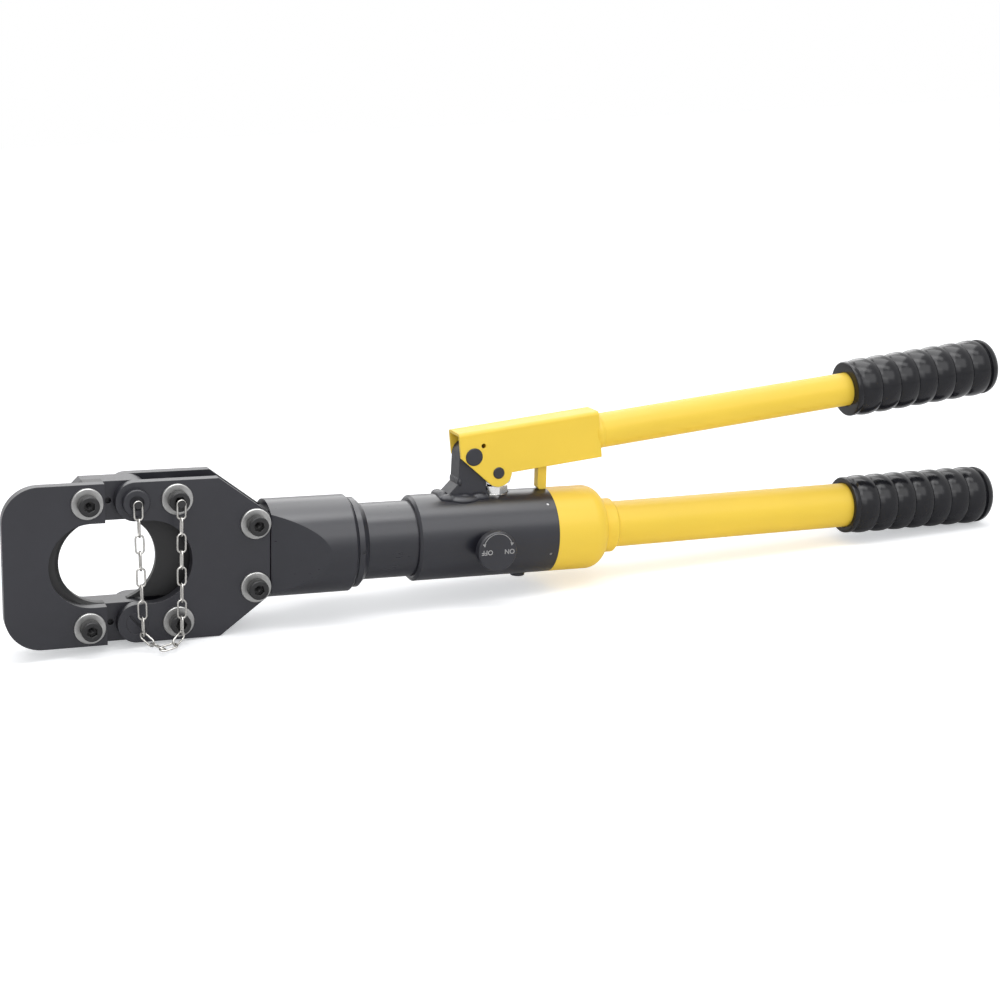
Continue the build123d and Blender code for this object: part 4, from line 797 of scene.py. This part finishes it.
def model_screw(size, seat_to_end, name):
    """A socket head screw along Z: seat at zero, head above it and shank below."""
    edge = 0.0008
    bevel = 0.0003
    drill_point = 0.0012
    teeth, knurl_depth = 48, 0.00028
    head, shank = size.screw_head_radius, size.screw_radius
    top = size.screw_head_height
    bottom = top - size.screw_socket_depth
    corner = size.screw_socket / 2 / cos(pi / 6)
    pick_none()
    bpy.ops.mesh.primitive_circle_add(vertices=2 * teeth, radius=head - edge, location=(0, 0, 0))
    screw = name_active(name)
    bpy.ops.object.mode_set(mode="EDIT")
    bpy.ops.mesh.select_all(action="SELECT")
    bpy.ops.transform.translate(value=(0, 0, top))
    bpy.ops.mesh.select_all(action="DESELECT")
    bpy.ops.mesh.primitive_circle_add(vertices=6, radius=corner + bevel, location=(0, 0, top))
    bpy.ops.mesh.select_all(action="SELECT")
    bpy.ops.mesh.bridge_edge_loops()
    hexagon = [(top, corner + bevel), (top - bevel, corner), (bottom, corner),
               (bottom, corner * 0.62), (bottom - drill_point, corner * 0.05)]
    outside = [(top, head - edge), (top - edge * 0.5, head - edge * 0.25), (top - edge, head),
               (edge * 0.6, head), (0.0, head - edge * 0.6), (0.0, shank),
               (0.001 - seat_to_end, shank), (-seat_to_end, shank - 0.0008)]
    for rows in (hexagon, outside):
        pick_ring(screw, *rows[0])
        draw_rings(rows)
        bpy.ops.mesh.edge_face_add()
    bpy.ops.object.mode_set(mode="OBJECT")

    def between_teeth(co):
        tooth = round(atan2(co.y, co.x) / (pi / teeth)) % 2
        return tooth == 1 and abs(hypot(co.x, co.y) - head) < 1e-6

    pick_points(screw, between_teeth)
    widen(1 - knurl_depth / head)
    bpy.ops.object.mode_set(mode="OBJECT")
    return screw


class CUTTER_OT_screws(bpy.types.Operator):
    """Model the socket head screws of the cover plate and of the side plates"""

    bl_idname = "cutter.screws"
    bl_label = "Socket Screws"

    def execute(self, context):
        size = sizes()
        black_oxide = finish_material(
            "black_oxide_screw", (0.020, 0.020, 0.021), metallic=0.35, roughness=(0.30, 0.44),
            mottle=(150.0, 0.15), grain=(1100.0, 0.3, 0.00002), edge=0.0002, wear_and_edge_highlight=0.35,
            wear_and_edge_highlight_rgb=(0.16, 0.16, 0.16),
        )
        seat_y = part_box("washers")[0].y
        radius = size.screw_head_radius
        for name, node in (
            ("jaw_socket_screws", "jaw_screws"),
            ("plate_socket_screws", "plate_screws"),
        ):
            low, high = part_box(node)
            screw = model_screw(size, high.y - seat_y, name + "_model")
            spots = [(low.x + radius, low.z + radius), (low.x + radius, high.z - radius)]
            if node == "plate_screws":
                spots += [(high.x - radius, tool_axis_z - size.yoke_screw_offset),
                          (high.x - radius, tool_axis_z + size.yoke_screw_offset)]
            copies = []
            for x, z in spots:
                one = copy_of(screw)
                own_turn = radians(11 + 700 * x)
                place(one, to_front(x, seat_y, z) @ Matrix.Rotation(own_turn, 4, "Z"))
                copies.append(one)
            bpy.data.objects.remove(screw)
            screws = join(name, copies)
            tidy_mesh(screws, radians(30))
            finish_piece(screws, black_oxide, "head", "screw_black", node)
        return {"FINISHED"}


# ---------------------------------------------------------------- release knob


class CUTTER_OT_knob(bpy.types.Operator):
    """Finish the release knob and model the arrows and the words on its face"""

    bl_idname = "cutter.knob"
    bl_label = "Release Knob"

    def execute(self, context):
        size = sizes()
        tone = colours()
        centre = box_middle("release_knob")
        face_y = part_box("release_knob")[0].y
        anodised = finish_material(
            "knob_black", tone.body_black, roughness=(0.40, 0.52), mottle=(60.0, 0.12),
            grain=(900.0, 0.2, 0.00002), edge=0.0003, wear_and_edge_highlight=0.35, wear_and_edge_highlight_rgb=(0.12, 0.12, 0.12),
            rings=("Y", (centre.x, 0, centre.z), 14000.0, 0.35),
        )
        dress(anodised, "release_knob")
        paint = finish_material(
            "mark_paint", tone.mark_grey, roughness=(0.5, 0.6), mottle=(300.0, 0.25),
            grain=(900.0, 0.2, 0.00001), edge=0.00005,
        )
        lift = 0.00005
        arrow_radius = 0.00145
        arrow_turn = radians(12)
        capital_share = 1.38
        stroke_gain = 0.00006
        arc = size.knob_mark_radius
        half = size.knob_mark_width / 2
        reach = radians(72)
        arc_middle = Vector((0, 0.0020, 0))

        pick_none()
        bpy.ops.mesh.primitive_circle_add(vertices=120, radius=arc + half, fill_type="NOTHING")
        line = name_active("knob_arc")
        bpy.ops.object.mode_set(mode="EDIT")
        bpy.ops.mesh.select_all(action="SELECT")
        extrude(0)
        widen((arc - half) / (arc + half))
        bpy.ops.mesh.select_all(action="SELECT")
        bpy.ops.mesh.bisect(
            plane_co=(0, arc * cos(reach), 0), plane_no=(0, -1, 0), clear_outer=True
        )
        bpy.ops.mesh.select_all(action="SELECT")
        extrude(lift)
        bpy.ops.object.mode_set(mode="OBJECT")
        place(line, Matrix.Translation(arc_middle))
        marks = [line]
        for side in (-1, 1):
            pick_none()
            bpy.ops.mesh.primitive_circle_add(vertices=3, radius=arrow_radius, fill_type="NGON")
            head = name_active("knob_arrow")
            bpy.ops.object.mode_set(mode="EDIT")
            bpy.ops.mesh.select_all(action="SELECT")
            extrude(lift)
            bpy.ops.object.mode_set(mode="OBJECT")
            tip = arc_middle + Vector((side * arc * sin(reach), arc * cos(reach), 0))
            place(head, Matrix.Translation(tip) @ Matrix.Rotation(pi - side * arrow_turn, 4, "Z"))
            marks.append(head)
        for word, middle in (("OFF", -0.0076), ("ON", 0.0081)):
            pick_none()
            bpy.ops.object.text_add(location=(0, 0, 0))
            text = bpy.context.active_object.data
            text.body = word
            text.size = size.knob_word_height * capital_share
            text.extrude = lift / 2
            text.offset = stroke_gain
            text.align_x = "CENTER"
            text.align_y = "CENTER"
            bpy.ops.object.convert(target="MESH")
            letters = name_active("knob_word")
            upside_down = Matrix.Rotation(pi, 4, "Z")
            place(letters, Matrix.Translation((middle, 0, lift / 2)) @ upside_down)
            marks.append(letters)
        dial = join("knob_marks", marks)
        place(dial, to_front(centre.x, face_y, centre.z))
        tidy_mesh(dial)
        finish_piece(dial, paint, "release_valve", "knob_black")
        return {"FINISHED"}


# ---------------------------------------------------------------- weld beads


class CUTTER_OT_welds(bpy.types.Operator):
    """Lay the weld beads under the pivot bracket and round the upper tube's front end"""

    bl_idname = "cutter.welds"
    bl_label = "Weld Beads"

    def execute(self, context):
        size = sizes()
        bracket_low, bracket_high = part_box("pivot_bracket")
        body_low, body_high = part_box("pump_body")
        body_radius = (body_high.y - body_low.y) / 2
        bead_radius = size.weld_radius
        bead_end = 0.005        # short of the bracket's rear
        half = (bracket_high.y - bracket_low.y) / 2 + bead_radius * 0.25
        front, rear = bracket_low.x - bead_radius * 0.2, bracket_high.x - bead_end
        step = bead_radius * 0.5
        path = []

        def run(a, b):
            count = max(1, round((Vector(b) - Vector(a)).length / step))
            path.extend(Vector(a).lerp(Vector(b), k / count) for k in range(count))

        run((rear, -half), (front, -half))
        run((front, -half), (front, half))
        run((front, half), (rear, half))
        ripple = 0.16
        beads = [(x, y, (1.3, 1.05 + ripple * sin(1.3 * k), 0.85 + ripple * sin(0.9 * k)))
                 for k, (x, y) in enumerate(path)]
        puddle = (3.7, 2.0, 0.85)
        beads.append((front + bead_radius * 4.4, -half - bead_radius * 0.1, puddle))
        pick_none()
        bpy.ops.mesh.primitive_uv_sphere_add(segments=24, ring_count=12, radius=bead_radius)
        drop = name_active("weld_drop")
        drops = []
        for x, y, stretch in beads:
            rise = sqrt(body_radius**2 - y * y)
            out = Vector((0, y, rise)).normalized()
            across = out.cross(Vector((1, 0, 0)))
            lay = Matrix((Vector((1, 0, 0)), across, out)).transposed().to_4x4()
            one = copy_of(drop)
            place(one, Matrix.Translation((x, y, tool_axis_z + rise)) @ lay
                  @ Matrix.Diagonal((*stretch, 1)))
            drops.append(one)
        waist = box_middle("pivot_pin") + Vector((size.weld_waist_x, 0, size.weld_waist_z))
        side_drops = 8
        for k in range(-side_drops, side_drops + 1):
            one = copy_of(drop)
            across_y = k / side_drops * (half - bead_radius * 0.5)
            lump = 0.72 + 0.05 * sin(2.1 * k)
            spot = waist + Vector((0.0006, across_y, 0.0003 * sin(1.9 * k)))
            place(one, Matrix.Translation(spot)
                  @ Matrix.Diagonal((0.8 * lump, lump, 1.5 * lump, 1)))
            drops.append(one)
        bpy.data.objects.remove(drop)
        bead = join("bracket_weld", drops)
        pick(bead)
        remesh = bead.modifiers.new("Fuse", "REMESH")
        remesh.mode = "VOXEL"
        remesh.voxel_size = 0.00035
        bpy.ops.object.modifier_apply(modifier=remesh.name)
        smooth = bead.modifiers.new("Soften", "SMOOTH")
        smooth.iterations = 18
        bpy.ops.object.modifier_apply(modifier=smooth.name)
        bpy.ops.object.shade_smooth()
        painted = finish_material(
            "painted_weld", colours().body_black, roughness=(0.34, 0.5), mottle=(200.0, 0.2),
            grain=(500.0, 0.4, 0.00006), edge=0.0002,
        )
        finish_piece(bead, painted, "head", "body_black")

        # Heights along the tube, and how proud of it the lapped edge stands.
        lap = ((-0.0022, -0.0016), (-0.0016, -0.0009), (-0.0008, -0.0003), (0.0, 0.00015),
               (0.0008, 0.0004), (0.0018, 0.00035), (0.0026, 0.00012), (0.0030, 0.00002))
        rows = [(height, size.upper_tube_radius + proud) for height, proud in lap]
        ring = turned_shell("socket_weld", rows)
        place(ring, handle_place(size, size.socket_rear))
        tidy_mesh(ring, radians(50))
        finish_piece(ring, bpy.data.materials["yellow_enamel"], "pump_handle", "yellow_paint")
        return {"FINISHED"}


# ---------------------------------------------------------------- stage


def area_lamp(name, where, target, size_xy, power, reflected_only=False):
    """A soft rectangular lamp that points at a target; a strip may show in reflections alone."""
    pick_none()
    bpy.ops.object.light_add(type="AREA", location=where)
    lamp = bpy.context.active_object
    lamp.name = name
    lamp.data.shape = "RECTANGLE"
    lamp.data.size, lamp.data.size_y = size_xy
    lamp.data.energy = power
    lamp.rotation_euler = (Vector(target) - Vector(where)).to_track_quat("-Z", "Y").to_euler()
    lamp.visible_diffuse = not reflected_only


def seen_directly(tree):
    """One where a camera, glossy or transmission ray arrives, and zero elsewhere."""
    rays = tree.nodes.new("ShaderNodeLightPath").outputs
    either = calculate(tree, "MAXIMUM", rays["Is Camera Ray"], rays["Is Glossy Ray"])
    return calculate(tree, "MAXIMUM", either, rays["Is Transmission Ray"])


def lay_floor():
    """A large pale floor that slopes with the tool, from the rear of the head's lower edge."""
    slope = 0.0613
    touch_x = 0.0625
    clearance = 0.0002
    pick_none()
    bpy.ops.mesh.primitive_plane_add(size=12.0, location=(0, 0, 0))
    floor = name_active("studio_floor")
    tilt = Matrix.Rotation(-atan2(slope, 1), 4, "Y")
    place(floor, Matrix.Translation((touch_x, 0, -clearance)) @ tilt)
    paper = bpy.data.materials.new("studio_paper")
    paper.use_nodes = True
    tree = paper.node_tree
    shader = tree.nodes["Principled BSDF"]
    shader.inputs["Base Color"].default_value = (0.90, 0.90, 0.91, 1)
    shader.inputs["Roughness"].default_value = 0.9
    shader.inputs["Specular IOR Level"].default_value = 0.1
    glow = node_of(tree, "ShaderNodeEmission", Color=(0.96, 0.98, 1, 1), Strength=0.41)
    camera_ray = tree.nodes.new("ShaderNodeLightPath").outputs["Is Camera Ray"]
    lit = node_of(tree, "ShaderNodeAddShader", i0=shader.outputs[0], i1=glow.outputs[0])
    mix = node_of(tree, "ShaderNodeMixShader", i0=camera_ray, i1=shader.outputs[0],
                  i2=lit.outputs[0])
    tree.links.new(mix.outputs[0], tree.nodes["Material Output"].inputs["Surface"])
    floor.data.materials.append(paper)


def set_surroundings(scene):
    """White surroundings that light the tool less than they show."""
    lighting, seen = 0.68, 1.0
    world = bpy.data.worlds.new("soft_studio")
    world.use_nodes = True
    scene.world = world
    tree = world.node_tree
    background = tree.nodes["Background"]
    background.inputs["Color"].default_value = (1, 1, 1, 1)
    strength = spread(tree, seen_directly(tree), lighting, seen, 0.0, 1.0)
    tree.links.new(strength, background.inputs["Strength"])


def set_camera(scene):
    """A long lens in front of the head's side, a little above the tool."""
    yaw, pitch, roll = 0.37528, 0.22269, 0.02707
    bpy.ops.object.camera_add(location=(-0.2011, -1.1725, 0.3598))
    camera = bpy.context.active_object
    camera.name = "studio_camera"
    forward = Vector((sin(yaw) * cos(pitch), cos(yaw) * cos(pitch), -sin(pitch)))
    level = Vector((cos(yaw), -sin(yaw), 0))
    upright = level.cross(forward)
    right = cos(roll) * level + sin(roll) * upright
    up = -sin(roll) * level + cos(roll) * upright
    turned_camera = Matrix((right, up, -forward)).transposed().to_4x4()
    camera.matrix_world = Matrix.Translation(camera.location) @ turned_camera
    camera.data.sensor_width = 36.0
    camera.data.lens = 68.21
    scene.camera = camera


class CUTTER_OT_stage(bpy.types.Operator):
    """Set the pale floor, the soft lamps, the surroundings and the camera"""

    bl_idname = "cutter.stage"
    bl_label = "Stage"

    def execute(self, context):
        scene = context.scene
        lay_floor()
        set_surroundings(scene)
        area_lamp("overhead_softbox", (0.20, -0.12, 1.5), (0.25, 0.0, 0.05), (2.0, 0.4), 9.0)
        area_lamp("front_softbox", (-0.1, -1.7, 0.8), (0.25, 0.0, 0.06), (1.6, 0.8), 7.0)
        area_lamp("overhead_strip", (0.20, 0.05, 1.4), (0.25, 0.0, 0.05), (2.6, 1.1), 31.0, True)
        area_lamp("front_strip", (0.20, -1.05, 1.1), (0.25, 0.0, 0.05), (2.6, 0.9), 15.0, True)
        area_lamp("rear_strip", (0.20, 1.5, 1.0), (0.25, 0.0, 0.05), (2.6, 0.8), 16.0, True)
        set_camera(scene)
        scene.view_settings.view_transform = "Standard"
        return {"FINISHED"}


# ---------------------------------------------------------------- panel and registration


class CUTTER_PT_panel(bpy.types.Panel):
    """Sizes, colours and operators of the cable cutter"""

    bl_idname = "CUTTER_PT_panel"
    bl_label = "Cable Cutter"
    bl_space_type = "VIEW_3D"
    bl_region_type = "UI"
    bl_category = "Cable Cutter"

    def draw(self, context):
        for group in (context.scene.cutter_sizes, context.scene.cutter_colours):
            box = self.layout.box()
            for key in group.__annotations__:
                box.prop(group, key)
        for operator in operators:
            self.layout.operator(operator.bl_idname)


operators = (
    CUTTER_OT_stage,
    CUTTER_OT_head_finish,
    CUTTER_OT_hydraulics_finish,
    CUTTER_OT_return_spring,
    CUTTER_OT_handle_finish,
    CUTTER_OT_grips,
    CUTTER_OT_chain,
    CUTTER_OT_screws,
    CUTTER_OT_knob,
    CUTTER_OT_welds,
)
classes = (CutterSizes, CutterColours, *operators, CUTTER_PT_panel)


def register():
    """Register the classes and attach the properties to the scene."""
    for cls in classes:
        bpy.utils.register_class(cls)
    bpy.types.Scene.cutter_sizes = PointerProperty(type=CutterSizes)
    bpy.types.Scene.cutter_colours = PointerProperty(type=CutterColours)


def unregister():
    """Undo what register did."""
    del bpy.types.Scene.cutter_colours
    del bpy.types.Scene.cutter_sizes
    for cls in reversed(classes):
        bpy.utils.unregister_class(cls)


def main():
    """Build the dressed model."""
    register()
    for operator in operators:
        group, action = operator.bl_idname.split(".")
        getattr(getattr(bpy.ops, group), action)()
    pick_none()


if __name__ == "__main__":
    main()
